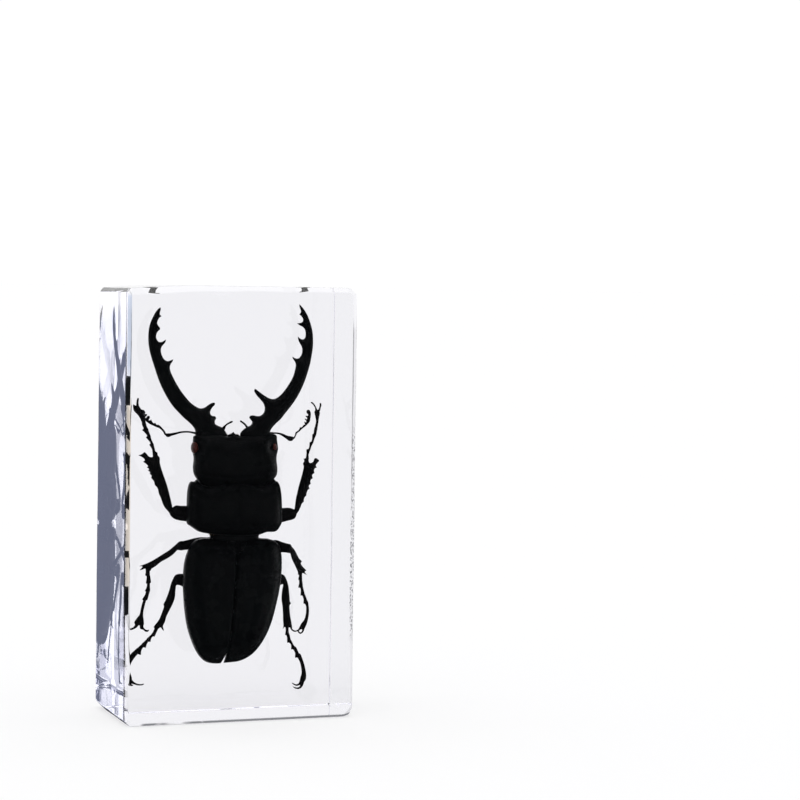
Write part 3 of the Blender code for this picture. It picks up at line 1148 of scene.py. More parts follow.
        (12.84, 24.08), (13.31, 24.07), (13.39, 23.36), (13.45, 22.81, 1), (13.13, 22.72), (12.67, 22.8, 1),
        (12.8, 23.47),
    ],
    "leg_mid_right.tarsus_2": [
        (12.9, 22.93), (13.34, 22.92), (13.55, 22.12), (13.61, 21.65, 1), (13.24, 21.41), (12.71, 21.39, 1),
        (12.89, 22.23),
    ],
    "leg_mid_right.tarsus_3": [
        (13.14, 21.61), (13.48, 21.77), (13.79, 20.98), (14, 20.16, 1), (13.64, 20.04), (13.16, 20.01, 1),
        (13.23, 20.82),
    ],
    "leg_mid_right.tarsus_4": [
        (13.52, 20.2), (13.88, 20.36), (14.31, 19.56), (14.55, 18.84, 1), (14.25, 18.57), (13.76, 18.55, 1),
        (13.77, 19.4),
    ],
    "leg_mid_right.tarsus_5": [
        (14.04, 18.86), (14.51, 19.11), (14.77, 18.14), (14.85, 17.09), (14.71, 15.96), (14.4, 14.91),
        (14, 14.23), (13.45, 14.14), (13.15, 14.47), (13.37, 15.05), (13.96, 15.79), (14.25, 16.76),
        (14.29, 17.98),
    ],
    "leg_mid_right.claw_a": [
        (13.54, 14.49), (13.37, 14.11), (12.82, 13.84), (12.19, 13.73), (11.63, 14.03), (11.33, 14.56),
        (11.47, 14.75), (11.81, 14.27), (12.26, 14), (12.82, 14.13), (13.15, 14.57),
    ],
    "leg_mid_right.claw_b": [
        (14.04, 14.47), (13.98, 13.95), (13.67, 13.49), (13.27, 13.31), (12.86, 13.61), (12.75, 13.89),
        (13.08, 13.77), (13.34, 13.62), (13.56, 13.84), (13.63, 14.34),
    ],
    "leg_hind_left.femur": [
        (-5.2, 24.34), (-6.83, 24.44), (-8.08, 24.47), (-8.91, 24.49), (-9.4, 24.36), (-9.78, 23.89),
        (-9.81, 23.14), (-9.36, 22.66), (-8.74, 22.55), (-8.13, 22.25), (-6.78, 21.81), (-5.16, 21.58),
    ],
    "leg_hind_left.tibia": [
        (-9.33, 24.39), (-9.78, 23.86), (-10.24, 22.89), (-10.56, 21.81), (-10.93, 20.81), (-11.29, 20.01),
        (-11.64, 19.38, 1), (-11.52, 19.1), (-11.84, 18.13), (-12.26, 17.13), (-12.84, 16.32),
        (-13.45, 15.72, 1), (-13.21, 15.41), (-12.63, 15.34), (-12.12, 15.55), (-11.95, 15.28),
        (-11.55, 14.79, 1), (-11.63, 15.37), (-11.73, 15.7), (-11.35, 16.49), (-11.05, 17.42), (-10.52, 18.42),
        (-9.96, 19.49), (-9.59, 20.5), (-9.47, 21.61), (-9.31, 22.72), (-9.03, 23.63),
    ],
    "leg_hind_left.tarsus_1": [
        (-12.51, 15.57), (-13.09, 15.6), (-13.61, 14.88), (-13.99, 14.38), (-13.7, 14.16), (-13.3, 14.09, 1),
        (-12.96, 14.71),
    ],
    "leg_hind_left.tarsus_2": [
        (-13.38, 14.53), (-13.97, 14.47), (-14.51, 14.08), (-14.83, 13.88), (-14.67, 13.44),
        (-14.12, 13.24, 1), (-13.94, 13.82),
    ],
    "leg_hind_left.tarsus_3": [
        (-14.23, 13.77), (-14.87, 13.75), (-15.43, 13.37), (-15.82, 13.11), (-15.63, 12.61),
        (-15.05, 12.34, 1), (-14.86, 12.94),
    ],
    "leg_hind_left.tarsus_4": [
        (-15.16, 12.99), (-15.83, 13.01), (-16.53, 12.58), (-17.06, 12.22), (-16.78, 11.62),
        (-16.07, 11.25, 1), (-15.9, 12.08),
    ],
    "leg_hind_left.tarsus_5": [
        (-16.23, 12.13), (-16.73, 12.33), (-17.48, 11.96), (-17.98, 11.54), (-18.31, 10.88), (-18.52, 10.01),
        (-18.64, 8.87), (-18.58, 7.77), (-18.37, 7.09), (-17.92, 7.12), (-17.87, 7.66), (-18.16, 8.6),
        (-18.16, 9.51), (-17.81, 10.3), (-17.26, 10.94), (-16.64, 11.51),
    ],
    "leg_hind_left.claw_a": [
        (-18.39, 7.51), (-17.96, 7.43), (-17.46, 6.96), (-16.86, 6.66), (-16.27, 6.56), (-15.72, 6.63),
        (-15.89, 6.38), (-16.61, 6.31), (-17.42, 6.52), (-18.09, 6.86),
    ],
    "leg_hind_left.claw_b": [
        (-18.54, 7.42), (-18.13, 7.17), (-18.09, 6.76), (-17.77, 6.54), (-17.56, 6.39), (-17.91, 6.27),
        (-18.38, 6.5), (-18.57, 7.01),
    ],
    "leg_hind_right.femur": [
        (6.89, 23.94), (8.28, 24.04), (9.35, 24.02), (9.8, 23.84), (10.16, 23.39), (10.36, 22.76),
        (10.11, 22.27), (9.53, 22.25), (9.11, 22.04), (8.35, 21.57), (6.95, 21.24),
    ],
    "leg_hind_right.tibia": [
        (10.03, 23.53), (10.39, 22.86), (10.6, 21.92), (10.65, 20.91), (10.65, 19.91), (10.65, 19.38),
        (10.85, 19.01, 1), (10.56, 18.79), (10.46, 17.76), (10.51, 16.66), (10.62, 15.76), (10.7, 14.8, 1),
        (10.26, 15.01), (9.72, 15.1), (9.33, 15.14), (8.78, 14.59, 1), (9.08, 15.38), (9.11, 16.31),
        (9.19, 17.37), (9.21, 18.63), (9.16, 19.79), (9.38, 21.11), (9.66, 22.18), (9.78, 22.94),
    ],
    "leg_hind_right.tarsus_1": [
        (9.49, 15.3), (9.99, 15.28), (9.99, 14.62), (9.97, 13.96, 1), (9.62, 13.8), (9.23, 13.78, 1),
        (9.43, 14.54),
    ],
    "leg_hind_right.tarsus_2": [
        (9.53, 13.97), (9.95, 14.19), (10.19, 13.37), (10.23, 12.73, 1), (9.91, 12.54), (9.51, 12.49, 1),
        (9.58, 13.31),
    ],
    "leg_hind_right.tarsus_3": [
        (9.82, 12.72), (10.23, 12.99), (10.63, 12.21), (10.93, 11.67, 1), (10.56, 11.44), (10.1, 11.38, 1),
        (10.18, 12.14),
    ],
    "leg_hind_right.tarsus_4": [
        (10.41, 11.64), (10.91, 11.9), (11.29, 11.14), (11.54, 10.41, 1), (11.15, 10.09), (10.65, 9.99, 1),
        (10.74, 10.88),
    ],
    "leg_hind_right.tarsus_5": [
        (11.04, 10.32), (11.57, 10.74), (11.97, 9.72), (12.27, 8.48), (12.41, 7.31), (12.36, 6.45),
        (12.1, 6.02), (11.67, 5.69), (11.28, 5.88), (11.34, 6.67), (11.6, 7.57), (11.54, 8.67), (11.34, 9.56),
    ],
    "leg_hind_right.claw_a": [
        (11.6, 6.04), (11.35, 5.53), (10.81, 5.3), (10.26, 5.48), (9.79, 5.94), (10.21, 5.79), (10.63, 5.61),
        (11.02, 5.74), (11.27, 6.15),
    ],
    "leg_hind_right.claw_b": [
        (12.03, 6.05), (11.89, 5.44), (11.54, 4.95), (10.99, 4.74), (10.41, 4.89), (9.93, 5.33), (10.37, 5.17),
        (10.85, 5.05), (11.26, 5.25), (11.56, 5.8),
    ],
    "antenna_left.scape": [
        (-6.08, 48.57), (-6.6, 48.75), (-7.46, 48.9), (-8.33, 48.94), (-9.19, 48.86), (-10.05, 48.68),
        (-10.9, 48.56), (-11.42, 48.52), (-11.67, 48.25), (-11.48, 47.95), (-11.07, 47.9), (-10.55, 48.12),
        (-9.87, 48.3), (-9.19, 48.52), (-8.33, 48.62), (-7.46, 48.58), (-6.77, 48.41), (-6.07, 48.23),
    ],
    "antenna_left.flagellum": [
        (-11.41, 48.26), (-11.56, 48.6), (-11.74, 49.01), (-12.03, 49.38), (-12.36, 49.75), (-12.74, 50.04, 1),
        (-12.9, 49.93), (-13.18, 50.32, 1), (-13.41, 50.2), (-13.75, 50.63, 1), (-13.87, 50.49),
        (-14.5, 50.89), (-14.8, 50.65), (-14.44, 50.3), (-13.95, 49.97), (-13.47, 49.76), (-13, 49.53),
        (-12.6, 49.37), (-12.23, 49.04), (-11.96, 48.65), (-11.77, 48.22),
    ],
    "antenna_left.club": [
        (-13.9, 50.16), (-14.42, 50.39), (-14.85, 50.72), (-15.22, 51.33), (-15.51, 51.96), (-15.64, 52.47),
        (-15.26, 52.5), (-14.86, 52.3), (-14.73, 51.96), (-14.87, 51.73), (-14.48, 51.76), (-14.44, 51.53),
        (-14.73, 51.26), (-14.72, 51.02), (-14.38, 51.43), (-14.08, 51.43), (-14.01, 51.1), (-14.28, 50.66),
        (-13.95, 50.73), (-13.81, 50.93, 1), (-13.71, 50.48),
    ],
    "antenna_right.scape": [
        (6.3, 48.61), (7.38, 48.62), (8.29, 48.54), (9.02, 48.36), (9.76, 48.04), (10.4, 47.9), (10.95, 47.78),
        (11.03, 47.44), (10.69, 47.08), (10.18, 47.07), (9.7, 47.39), (9.03, 47.84), (8.29, 48.21),
        (7.39, 48.32), (6.3, 48.25),
    ],
    "antenna_right.flagellum": [
        (10.65, 47.32), (11.02, 47.71), (11.31, 48.11), (11.44, 48.51), (11.84, 48.74), (12.25, 49.07),
        (12.34, 49.35), (12.77, 49.41), (13.06, 49.74), (13.49, 49.85), (14.03, 50.04), (13.67, 49.66),
        (13.08, 49.26), (12.63, 48.96), (12.23, 48.63), (11.77, 48.34), (11.5, 47.9), (11.15, 47.43),
    ],
    "antenna_right.club": [
        (14.31, 50.31), (14.48, 50.96), (14.57, 51.54), (14.52, 52.02), (14.3, 52.33), (13.94, 52.34),
        (13.76, 52.03), (13.86, 51.72), (14.07, 51.51), (13.91, 51.27), (13.59, 51.44, 1), (13.62, 51.17),
        (13.84, 50.9), (13.72, 50.69), (13.41, 50.97, 1), (13.4, 50.66), (13.67, 50.38), (13.51, 50.21),
        (13.22, 50.42, 1), (13.28, 50.08), (13.49, 49.73), (13.95, 49.93),
    ],
}

# centre lines of the limbs, as (x, z, depth); a jaw's is its depth at each height
CENTRES = {
    "leg_front_left": [
        (-5.43, 34.84, 1.6), (-7.05, 34.88, 1.4), (-8.85, 35.01, 1.1), (-10.32, 35.32, 0.7),
        (-11.49, 37.27, -0.5), (-12.85, 39.95, -2.8), (-14.01, 42.92, -4.5), (-14.44, 44.95, -4.9),
        (-15.04, 46.97, -4.8), (-15.65, 48.81, -4.7), (-16.25, 50.82, -4.6), (-17.09, 52.83, -4.4),
        (-17.35, 54.33, -4.3),
    ],
    "leg_front_right": [
        (7, 34.27, 1.6), (8.94, 34.34, 1.4), (10.32, 34.5, 1.1), (11.48, 34.94, 0.6), (12.07, 37.43, -0.8),
        (12.5, 40.13, -3), (12.59, 42.61, -4.6), (12.32, 44.36, -5.4), (12.68, 46.26, -5.7),
        (13.25, 47.97, -5.9), (13.85, 50.2, -5.9), (14.02, 52.42, -5.8), (13.77, 53.95, -5.6),
    ],
    "leg_mid_left": [
        (-3.3, 29.5, 1.4), (-6.25, 29.62, 0.6), (-9.08, 29.42, -0.6), (-10.93, 28.17, 0.8),
        (-12.95, 26.67, 2.2), (-14.21, 25.8, 3), (-13.99, 23.99, 3.2), (-14.04, 22.1, 3.3),
        (-14.44, 20.06, 3.4), (-15.03, 17.85, 3.4), (-15.46, 16, 3.3), (-16.69, 15.19, 3.2),
    ],
    "leg_mid_right": [
        (5.23, 29.31, 1.4), (7.87, 28.99, 0.2), (10.1, 28.52, -1.3), (11.55, 26.78, 0.9), (13.06, 24.52, 2.9),
        (13.16, 22.4, 3.3), (13.57, 20.46, 3.4), (14.27, 18.68, 3.6), (14.56, 16.92, 3.6), (14.11, 15.02, 3.5),
        (13.19, 14.19, 3.4), (11.7, 14.25, 3.2),
    ],
    "leg_hind_left": [
        (-5.17, 22.44, 2.4), (-7.88, 23.4, 2), (-9.27, 23.47, 1.6), (-9.98, 21.79, 1.4), (-10.8, 19.79, 1.1),
        (-11.68, 17.45, 0.9), (-12.53, 15.47, 0.4), (-14.2, 13.77, -0.9), (-16.18, 12.29, -2.6),
        (-17.85, 10.62, -4), (-18.38, 9.03, -4.8), (-17.94, 7.16, -4.8), (-16.44, 6.57, -4.6),
    ],
    "leg_hind_right": [
        (6.94, 21.94, 2.4), (9.01, 22.95, 2), (10.05, 22.94, 1.8), (10.07, 20.76, 0.8), (9.91, 18.28, -0.6),
        (9.89, 15.95, -1.8), (9.71, 14.96, -2.3), (9.88, 12.63, -3.4), (10.75, 10.81, -4.6),
        (11.61, 9.17, -5.8), (11.92, 7.16, -6.6), (11.31, 5.63, -6.6), (10.12, 5.31, -6.3),
    ],
    "antenna_left": [
        (-5.9, 48.4, -0.3), (-9.19, 48.76, -0.1), (-11.41, 48.26, 0.1), (-12.43, 49.57, 1.4),
        (-13.7, 50.39, 2.2), (-14.65, 51.22, 2.8), (-15.46, 52.57, 3.2),
    ],
    "antenna_right": [
        (6.12, 48.32, -0.3), (9.02, 48.12, -0.1), (10.69, 47.41, 0.1), (11.97, 48.82, 1.2), (13.38, 49.82, 2),
        (14.28, 50.92, 2.5), (14.23, 52.13, 2.8),
    ],
    "mandible_left": [
        (45.62, -0.2), (48.17, 0.2), (49.85, 0.8), (53.25, 1.6), (56.66, 2), (60.06, 2.9), (62.61, 3.9),
        (66.02, 5.2), (67.73, 5.8), (70.3, 6.6),
    ],
    "mandible_right": [
        (45.63, -0.4), (50.06, -0.2), (54.15, 0.1), (57.38, 0.6), (60.43, 1.8), (62.96, 3.2), (66.88, 5.2),
        (70.3, 6.4),
    ],
}


def outline(name):
    return [(p[0] + BASE[0], p[1] + BASE[2]) + tuple(p[2:]) for p in OUTLINES[name]]


def along(name):
    """Depth of a limb at any x and z, read off the nearest point of its centre line."""
    pts = np.array(CENTRES[name], float)

    def depth(x, z):
        p = np.stack([x - BASE[0], z - BASE[2]], axis=1)
        best = np.full(len(p), 1e9)
        y = np.zeros(len(p))
        for a, b in zip(pts[:-1], pts[1:]):
            d = b[:2] - a[:2]
            t = np.clip(((p - a[:2]) @ d) / max(d @ d, 1e-9), 0.0, 1.0)
            q = a[:2] + t[:, None] * d
            dist = np.linalg.norm(p - q, axis=1)
            near = dist < best
            best[near] = dist[near]
            y[near] = (a[2] + (b[2] - a[2]) * t)[near]
        return y + BASE[1]

    return depth


def by_height(name):
    tab = np.array(sorted(CENTRES[name]), float)
    return lambda x, z: np.interp(z - BASE[2], tab[:, 0], tab[:, 1]) + BASE[1]


def level(y):
    return lambda x, z: np.full(len(x), y + BASE[1])


def bell(v, centre, width):
    return np.exp(-(((v - centre) / width) ** 2))


BODY_Y, PRO_Y, HEAD_Y = -1.0, -0.8, -0.4


def make_elytra(mat):
    """Two hardened wing cases that meet in a seam and part in a small slit at the tip."""
    pts = outline("elytra")
    line = smooth_outline(pts, 0.24)
    seam_z = np.array([30.43, 20.0, 10.99, 9.1]) + BASE[2]
    seam_x = np.array([0.51, -0.16, -0.82, -1.6]) + BASE[0]

    def seam(z):
        return np.interp(z, seam_z[::-1], seam_x[::-1])

    zs = np.linspace(30.43, 10.99, 76) + BASE[2]
    extra = np.stack([seam(zs), zs], axis=1)
    co, tri = fill(line, 0.30, (0.06, 0.16, 0.32, 0.55, 0.8), extra=extra)
    rim = np.zeros(len(co), bool)
    rim[np.unique(open_edges(tri))] = True
    r = membrane(co, tri, rim)
    x, z = co[:, 0] - BASE[0], co[:, 1] - BASE[2]
    d = edge_distance(co, line)
    rm = r.max()
    top = 4.5 * (r / rm) ** 0.78
    off = x - (seam(co[:, 1]) - BASE[0])
    top -= 0.30 * np.exp(-((off / 0.30) ** 2)) * np.clip(d / 0.8, 0, 1)
    top += 0.10 * np.exp(-(((np.abs(off) - 0.62) / 0.25) ** 2)) * np.clip(d / 0.8, 0, 1)
    top += 0.16 * bell(d, 0.30, 0.16) - 0.14 * bell(d, 0.75, 0.25)          # raised side margin
    for k, a in enumerate((2.2, 4.1, 5.9)):                                 # faint ribs
        top += 0.05 * np.exp(-(((np.abs(off) - a * (0.55 + 0.45 * np.clip((z - 9) / 16, 0, 1))) / 0.35) ** 2)) * np.clip(d / 1.5, 0, 1)
    for sx in (-6.3, 6.5):                                                  # shoulder bumps
        top += 0.35 * bell(x, sx, 1.1) * bell(z, 27.6, 1.5)
    bottom = 0.35 * (r / rm) ** 0.5
    top[rim] = 0.0
    bottom[rim] = 0.0
    y = np.full(len(co), BODY_Y + BASE[1])
    mid = co[tri].mean(1)
    left = mid[:, 0] < seam(mid[:, 1])
    made = []
    on_seam = np.abs(off) < 1e-3
    on_seam &= (z > 10.5)
    for name, part, sign in (("elytron_left", tri[left], -1.0), ("elytron_right", tri[~left], 1.0)):
        used = np.unique(part)
        new = -np.ones(len(co), int)
        new[used] = np.arange(len(used))
        c, f = co[used].copy(), new[part]
        c[on_seam[used], 0] += sign * 0.025
        fixed = rim[used]
        up = np.stack([c[:, 0], y[used] - top[used], c[:, 1]], axis=1)
        dn = np.stack([c[:, 0], y[used] + bottom[used], c[:, 1]], axis=1)
        low = np.arange(len(used))
        free = np.where(~fixed)[0]
        low[free] = len(used) + np.arange(len(free))
        faces = [tuple(q) for q in f] + [tuple(low[q][::-1]) for q in f]
        for a, b in open_edges(f):
            if fixed[a] and fixed[b]:
                if not (on_seam[used][a] or on_seam[used][b]):
                    continue
            quad = [b, a, low[a], low[b]]
            flat = []
            for q in quad:
                if not flat or flat[-1] != q:
                    flat.append(q)
            if flat[0] == flat[-1]:
                flat.pop()
            if len(flat) >= 3:
                faces.append(tuple(flat))
        s = Shell().add(np.concatenate([up, dn[free]]), faces)
        made.append(make_object(name, s, mat))

    def surface(px, pz):
        """Depth of the wing cases' outer face at given points."""
        out = np.zeros(len(px))
        for i, (a, b) in enumerate(zip(px, pz)):
            w = 1.0 / (((co[:, 0] - a) ** 2 + (co[:, 1] - b) ** 2) + 0.02)
            k = np.argsort(-w)[:6]
            out[i] = (w[k] * top[k]).sum() / w[k].sum()
        return y[0] - out

    return made, surface


def make_scutellum(mat, surface):
    pts = [(-1.55 + 0.45, 30.25), (1.55 + 0.45, 30.25), (1.75 + 0.42, 29.75), (1.0 + 0.38, 28.75), (0.36, 28.0, 1), (-1.0 + 0.38, 28.75), (-1.75 + 0.42, 29.75)]
    pts = [(p[0] + BASE[0], p[1] + BASE[2]) + tuple(p[2:]) for p in pts]
    s = Shell()
    pillow(s, pts, lambda x, z: surface(x, z) - 0.02, step=0.18, flat_top=0.32, flat_bottom=0.5, power=0.7)
    return make_object("scutellum", s, mat, smooth=2)


def make_hind_body(mat):
    """Metasternum and the five belly plates, seen only from behind."""
    full = outline("elytra")
    keep = [p for p in full if not (len(p) > 2)]
    cx, cz = BASE[0] + 0.1, BASE[2] + 20.0
    inset = []
    for p in keep:
        x, z = p[0] - cx, p[1] - cz
        inset.append((cx + x * 0.955, cz + z * (0.955 if z > 0 else 0.84)))
    steps = np.array([22.6, 20.6, 18.5, 16.4, 14.2, 11.4])

    def relief(px, pz, r, d):
        x, z = px - BASE[0], pz - BASE[2]
        db = np.zeros(len(x))
        for a, b in zip(steps[:-1], steps[1:]):
            t = (a - z) / (a - b)
            on = (t >= 0.0) & (t < 1.0)
            db += np.where(on, 0.26 * np.clip(t, 0.0, 1.0) ** 1.5 - 0.05, 0.0)
        db -= 0.25 * bell(z, 22.75, 0.18)                               # joint behind the hind hips
        db += 0.45 * bell(x, 0.1, 3.4) * np.clip((z - 22.8) / 1.5, 0, 1) * bell(z, 26.2, 3.2)
        db -= 0.22 * bell(x, 0.1, 0.16) * (z > 23.2) * (z < 29.0)       # groove down the metasternum
        db *= np.clip(d / 0.9, 0.0, 1.0)
        return np.zeros(len(x)), db

    s = Shell()
    pillow(s, inset, level(BODY_Y + 0.15), step=0.26, rings=(0.06, 0.2, 0.4), flat_top=0.25, flat_bottom=0.63, power=0.95, relief=relief)
    return make_object("abdomen_and_metasternum", s, mat, smooth=1)


def make_middle(mat):
    """The narrow mesothorax between pronotum and wing cases."""
    s = Shell()
    pts = [(-3.95, 33.2), (4.85, 33.2), (4.95, 31.4), (4.72, 30.7), (4.95, 29.9), (4.6, 28.3), (-3.7, 28.3), (-3.98, 29.9), (-3.78, 30.8), (-3.98, 31.5)]
    pts = [(p[0] + BASE[0], p[1] + BASE[2]) for p in pts]
    pillow(s, pts, level(-0.5), step=0.25, flat_top=1.05, flat_bottom=0.95, power=0.7)
    return make_object("mesothorax", s, mat, smooth=2)


def make_pronotum(mat):
    def relief(px, pz, r, d):
        x, z = px - BASE[0], pz - BASE[2]
        rim = np.clip(d / 0.5, 0.0, 1.0)
        dt = 0.16 * bell(d, 0.26, 0.14) - 0.15 * bell(d, 0.68, 0.22)
        dt -= 0.14 * bell(x, 0.45, 0.55) * bell(z, 36.0, 3.2) * rim          # furrow down the middle
        for sx in (-4.6, 5.4):
            dt -= 0.16 * bell(x, sx, 1.0) * bell(z, 35.4, 1.1)               # side dimples
            dt += 0.12 * bell(x, sx * 0.72, 1.6) * bell(z, 37.4, 1.4)
        db = -0.3 * bell(z, 37.8, 0.35) * rim + 0.35 * bell(x, 0.3, 0.9) * bell(z, 34.6, 2.2) * rim
        return dt, db

    s = Shell()
    pillow(s, outline("pronotum"), level(PRO_Y), step=0.26, rings=(0.05, 0.14, 0.28, 0.48, 0.72), flat_top=1.42, flat_bottom=1.12, power=0.72, relief=relief)
    return make_object("pronotum", s, mat)


def make_head(mat, eye_mat):
    def relief(px, pz, r, d):
        x, z = px - BASE[0], pz - BASE[2]
        rim = np.clip(d / 0.6, 0.0, 1.0)
        dt = -0.75 * bell(x, 0.3, 3.1) * bell(z, 47.6, 2.3) * rim            # hollow brow between the jaws
        for sx in (-4.3, 4.95):
            dt += 0.55 * bell(x, sx, 1.15) * bell(z, 46.3, 1.9) * rim        # ridges over the jaw hinges
        for sx in (-6.2, 6.85):
            dt -= 0.75 * bell(x, sx, 0.75) * bell(z, 46.1, 0.95)             # eye sockets
            dt += 0.30 * bell(x, sx * 0.92, 0.9) * bell(z, 43.0, 1.3) * rim  # temples
        dt -= 0.12 * bell(z, 40.9 + 0.10 * np.abs(x - 0.4), 0.25) * rim
        db = -0.25 * bell(np.abs(x - 0.3), 2.3, 0.25) * (z < 45.0) * rim     # gular seams
        return dt, db

    s = Shell()
    pillow(s, outline("head"), level(HEAD_Y), step=0.25, rings=(0.05, 0.15, 0.32, 0.55), flat_top=1.25, flat_bottom=1.15, power=0.72, relief=relief)
    # cheek plates and hinge knobs that hold the jaws
    for sx in (-4.75, 5.35):
        ellipsoid(s, BASE + np.array([sx, -0.4, 48.1]), (1.55, 1.5, 0.95))
    # mentum and lower lip
    ellipsoid(s, BASE + np.array([0.3, 1.75, 46.2]), (2.5, 0.75, 1.35))
    ellipsoid(s, BASE + np.array([0.3, 1.2, 47.6]), (1.3, 0.6, 0.75))
    head = make_object("head", s, mat, remesh=0.12, smooth=2)
    s = Shell()
    pts = [(-0.95, 47.5), (-0.85, 48.25), (-0.35, 48.45), (0.02, 48.72), (0.38, 48.38), (1.05, 48.22), (1.25, 47.5)]
    pillow(s, [(p[0] + BASE[0], p[1] + BASE[2]) for p in pts], level(-0.75), step=0.14, flat_top=0.9, flat_bottom=1.1)
    lip = make_object("labrum", s, mat, smooth=2)
    made = [head, lip]
    for name, sx, sgn in (("eye_left", -6.28, -1.0), ("eye_right", 6.78, 1.0)):
        s = Shell()
        ellipsoid(s, BASE + np.array([sx + 0.40 * sgn, -0.70, 46.1]), (0.66, 1.42, 1.10), rows=22, cols=34)
        made.append(make_object(name, s, eye_mat))
        s = Shell()
        p = curve_through([(sx - 0.3 * sgn, -1.2, 47.3), (sx + 0.38 * sgn, -1.05, 47.0), (sx + 0.62 * sgn, -0.95, 46.3), (sx + 0.5 * sgn, -0.9, 45.6)], 6) + BASE
        sweep(s, p, np.interp(np.linspace(0, 1, len(p)), [0, 0.6, 1], [0.34, 0.24, 0.10]), squash=0.7)
        made.append(make_object("canthus" + name[3:], s, mat, remesh=0.07, smooth=2))
    return made


def make_mandibles(mat):
    made = []
    for name in ("mandible_left", "mandible_right"):
        s = Shell()

        def relief(px, pz, r, d):
            z = pz - BASE[2]
            ridge = 0.12 * np.clip((r - 1.0), 0, 1) * np.clip((60.0 - z) / 10.0, 0, 1)
            return ridge, 0.0 * r

        pillow(s, outline(name), by_height(name), step=0.2, rings=(0.03, 0.09, 0.18), flat_top=0.98, flat_bottom=0.92, power=0.92, relief=relief)
        made.append(make_object(name, s, mat, remesh=0.085, smooth=2))
    return made


def limb_parts(name):
    return [k for k in OUTLINES if k.startswith(name + ".")]


def make_legs(mat):
    hips = {
        "leg_front_left": ((-3.2, 2.1, 35.0), (2.6, 1.25, 1.35), (-5.6, 1.9, 34.9)),
        "leg_front_right": ((3.9, 2.1, 34.7), (2.6, 1.25, 1.35), (6.3, 1.9, 34.4)),
        "leg_mid_left": ((-2.0, 2.55, 29.3), (1.5, 1.05, 1.3), (-3.6, 1.9, 29.5)),
        "leg_mid_right": ((3.0, 2.55, 29.1), (1.5, 1.05, 1.3), (4.9, 1.9, 29.3)),
        "leg_hind_left": ((-2.9, 2.75, 23.3), (2.7, 0.75, 0.95), (-5.3, 2.4, 22.9)),
        "leg_hind_right": ((3.7, 2.75, 23.1), (2.7, 0.75, 0.95), (6.3, 2.4, 22.6)),
    }
    made = []
    for name, (hip, size, joint) in hips.items():
        s = Shell()
        where = along(name)
        for part in limb_parts(name):
            kind = part.split(".")[1]
            if kind == "femur":
                pillow(s, outline(part), where, step=0.2, rings=(0.03, 0.1), flat_top=0.86, flat_bottom=0.86, power=0.95)
            elif kind == "tibia":
                pillow(s, outline(part), where, step=0.13, rings=(0.025, 0.07), flat_top=0.8, flat_bottom=0.8, power=0.95)
            else:
                pillow(s, outline(part), where, step=0.09, rings=(0.02, 0.05), flat_top=0.92, flat_bottom=0.92)
        ellipsoid(s, BASE + np.array(hip), size)
        ellipsoid(s, BASE + np.array(joint), (0.95, 0.85, 0.9))
        made.append(make_object(name, s, mat, remesh=0.075, smooth=1))
    return made


def make_feelers(mat):
    made = []
    for name in ("antenna_left", "antenna_right"):
        s = Shell()
        where = along(name)
        for part in limb_parts(name):
            pillow(s, outline(part), where, step=0.08, rings=(0.02,), flat_top=0.9, flat_bottom=0.9)
        made.append(make_object(name, s, mat, remesh=0.06, smooth=1))
    for name in ("palp_left", "palp_right"):
        s = Shell()
        pillow(s, outline(name), level(0.6), step=0.09, rings=(0.02,), flat_top=0.95, flat_bottom=0.95)
        made.append(make_object("maxillary_" + name, s, mat, remesh=0.06, smooth=1))
    return made


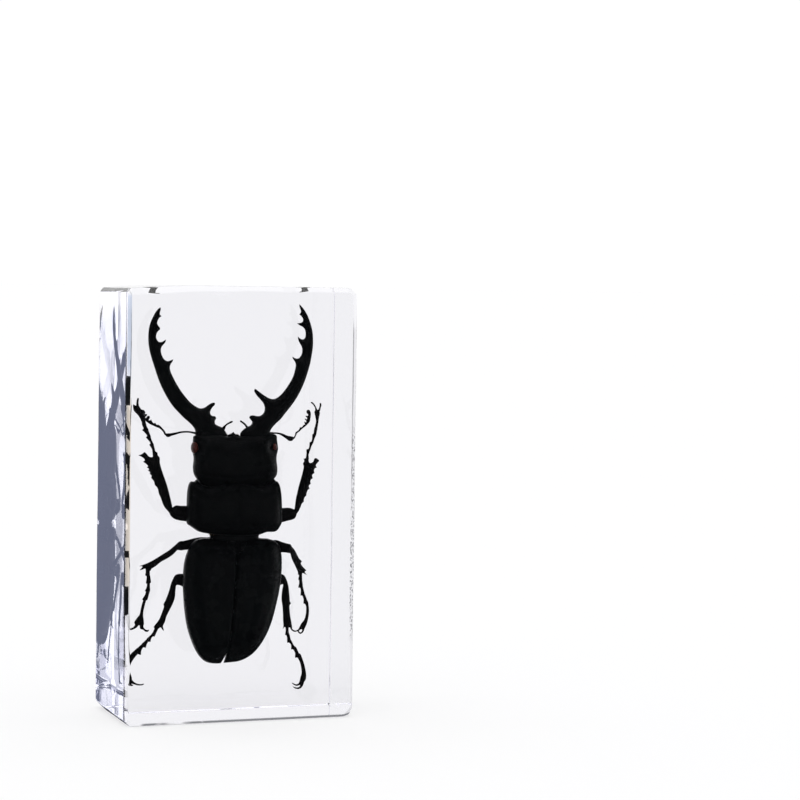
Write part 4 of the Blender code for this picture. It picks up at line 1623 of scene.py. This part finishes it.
def make_setae(mat):
    """Short golden bristles along the hind margin of the pronotum and on the lower lip."""
    s = Shell()

    def hair(root, tip, r):
        mid = (root + tip) / 2 + np.array([0.0, -0.06, 0.0])
        sweep(s, [root, mid, tip], [r, r * 0.7, r * 0.15], sides=5)

    for i in range(150):
        x = RNG.uniform(-4.2, 5.0)
        root = BASE + np.array([x, RNG.uniform(-2.0, -0.9), 31.55 + 0.05 * abs(x - 0.4)])
        tip = root + np.array([RNG.normal(0, 0.10), RNG.uniform(-0.15, 0.1), -RNG.uniform(0.45, 0.8)])
        hair(root, tip, 0.022)
    for i in range(60):
        x = RNG.uniform(-0.9, 1.3)
        root = BASE + np.array([x, RNG.uniform(0.5, 1.5), 47.9])
        tip = root + np.array([RNG.normal(0, 0.12), RNG.uniform(-0.1, 0.1), RNG.uniform(0.3, 0.65)])
        hair(root, tip, 0.02)
    return make_object("setae", s, mat)


def main():
    scene = bpy.context.scene
    make_camera()
    make_world()
    make_floor()
    make_lights()

    resin = resin_material()
    shell_mat = chitin("elytra_chitin", (0.0008, 0.0014, 0.0015), (0.0016, 0.0022, 0.0023), rough=(0.20, 0.34), pit_depth=0.35, streak=(900.0, 900.0, 120.0))
    body_mat = chitin("body_chitin", (0.0009, 0.0014, 0.0015), (0.0022, 0.0025, 0.0025), rough=(0.26, 0.44), pit_depth=0.6)
    limb_mat = chitin("limb_chitin", (0.0012, 0.0016, 0.0020), (0.0052, 0.0042, 0.0040), rough=(0.24, 0.40), pits=36000.0)
    belly_mat = chitin("belly_chitin", (0.0040, 0.0032, 0.0030), (0.0130, 0.0080, 0.0060), rough=(0.28, 0.46))
    eyes = eye_material()
    gold = setae_material()

    make_block(resin)
    _, surface = make_elytra(shell_mat)
    make_scutellum(body_mat, surface)
    make_hind_body(belly_mat)
    make_middle(body_mat)
    make_pronotum(body_mat)
    make_head(body_mat, eyes)
    make_mandibles(body_mat)
    make_legs(limb_mat)
    make_feelers(limb_mat)
    make_setae(gold)

    scene.view_settings.view_transform = "Standard"
    scene.view_settings.look = "None"
    scene.view_settings.exposure = 0.0
    scene.view_settings.gamma = 1.0
    scene.cycles.max_bounces = 24
    scene.cycles.transmission_bounces = 24
    scene.cycles.glossy_bounces = 12
    scene.cycles.diffuse_bounces = 4
    scene.cycles.transparent_max_bounces = 8
    scene.cycles.volume_bounces = 0
    scene.cycles.caustics_refractive = True
    scene.cycles.caustics_reflective = True
    scene.cycles.blur_glossy = 0.3
    scene.cycles.sample_clamp_indirect = 8.0


main()
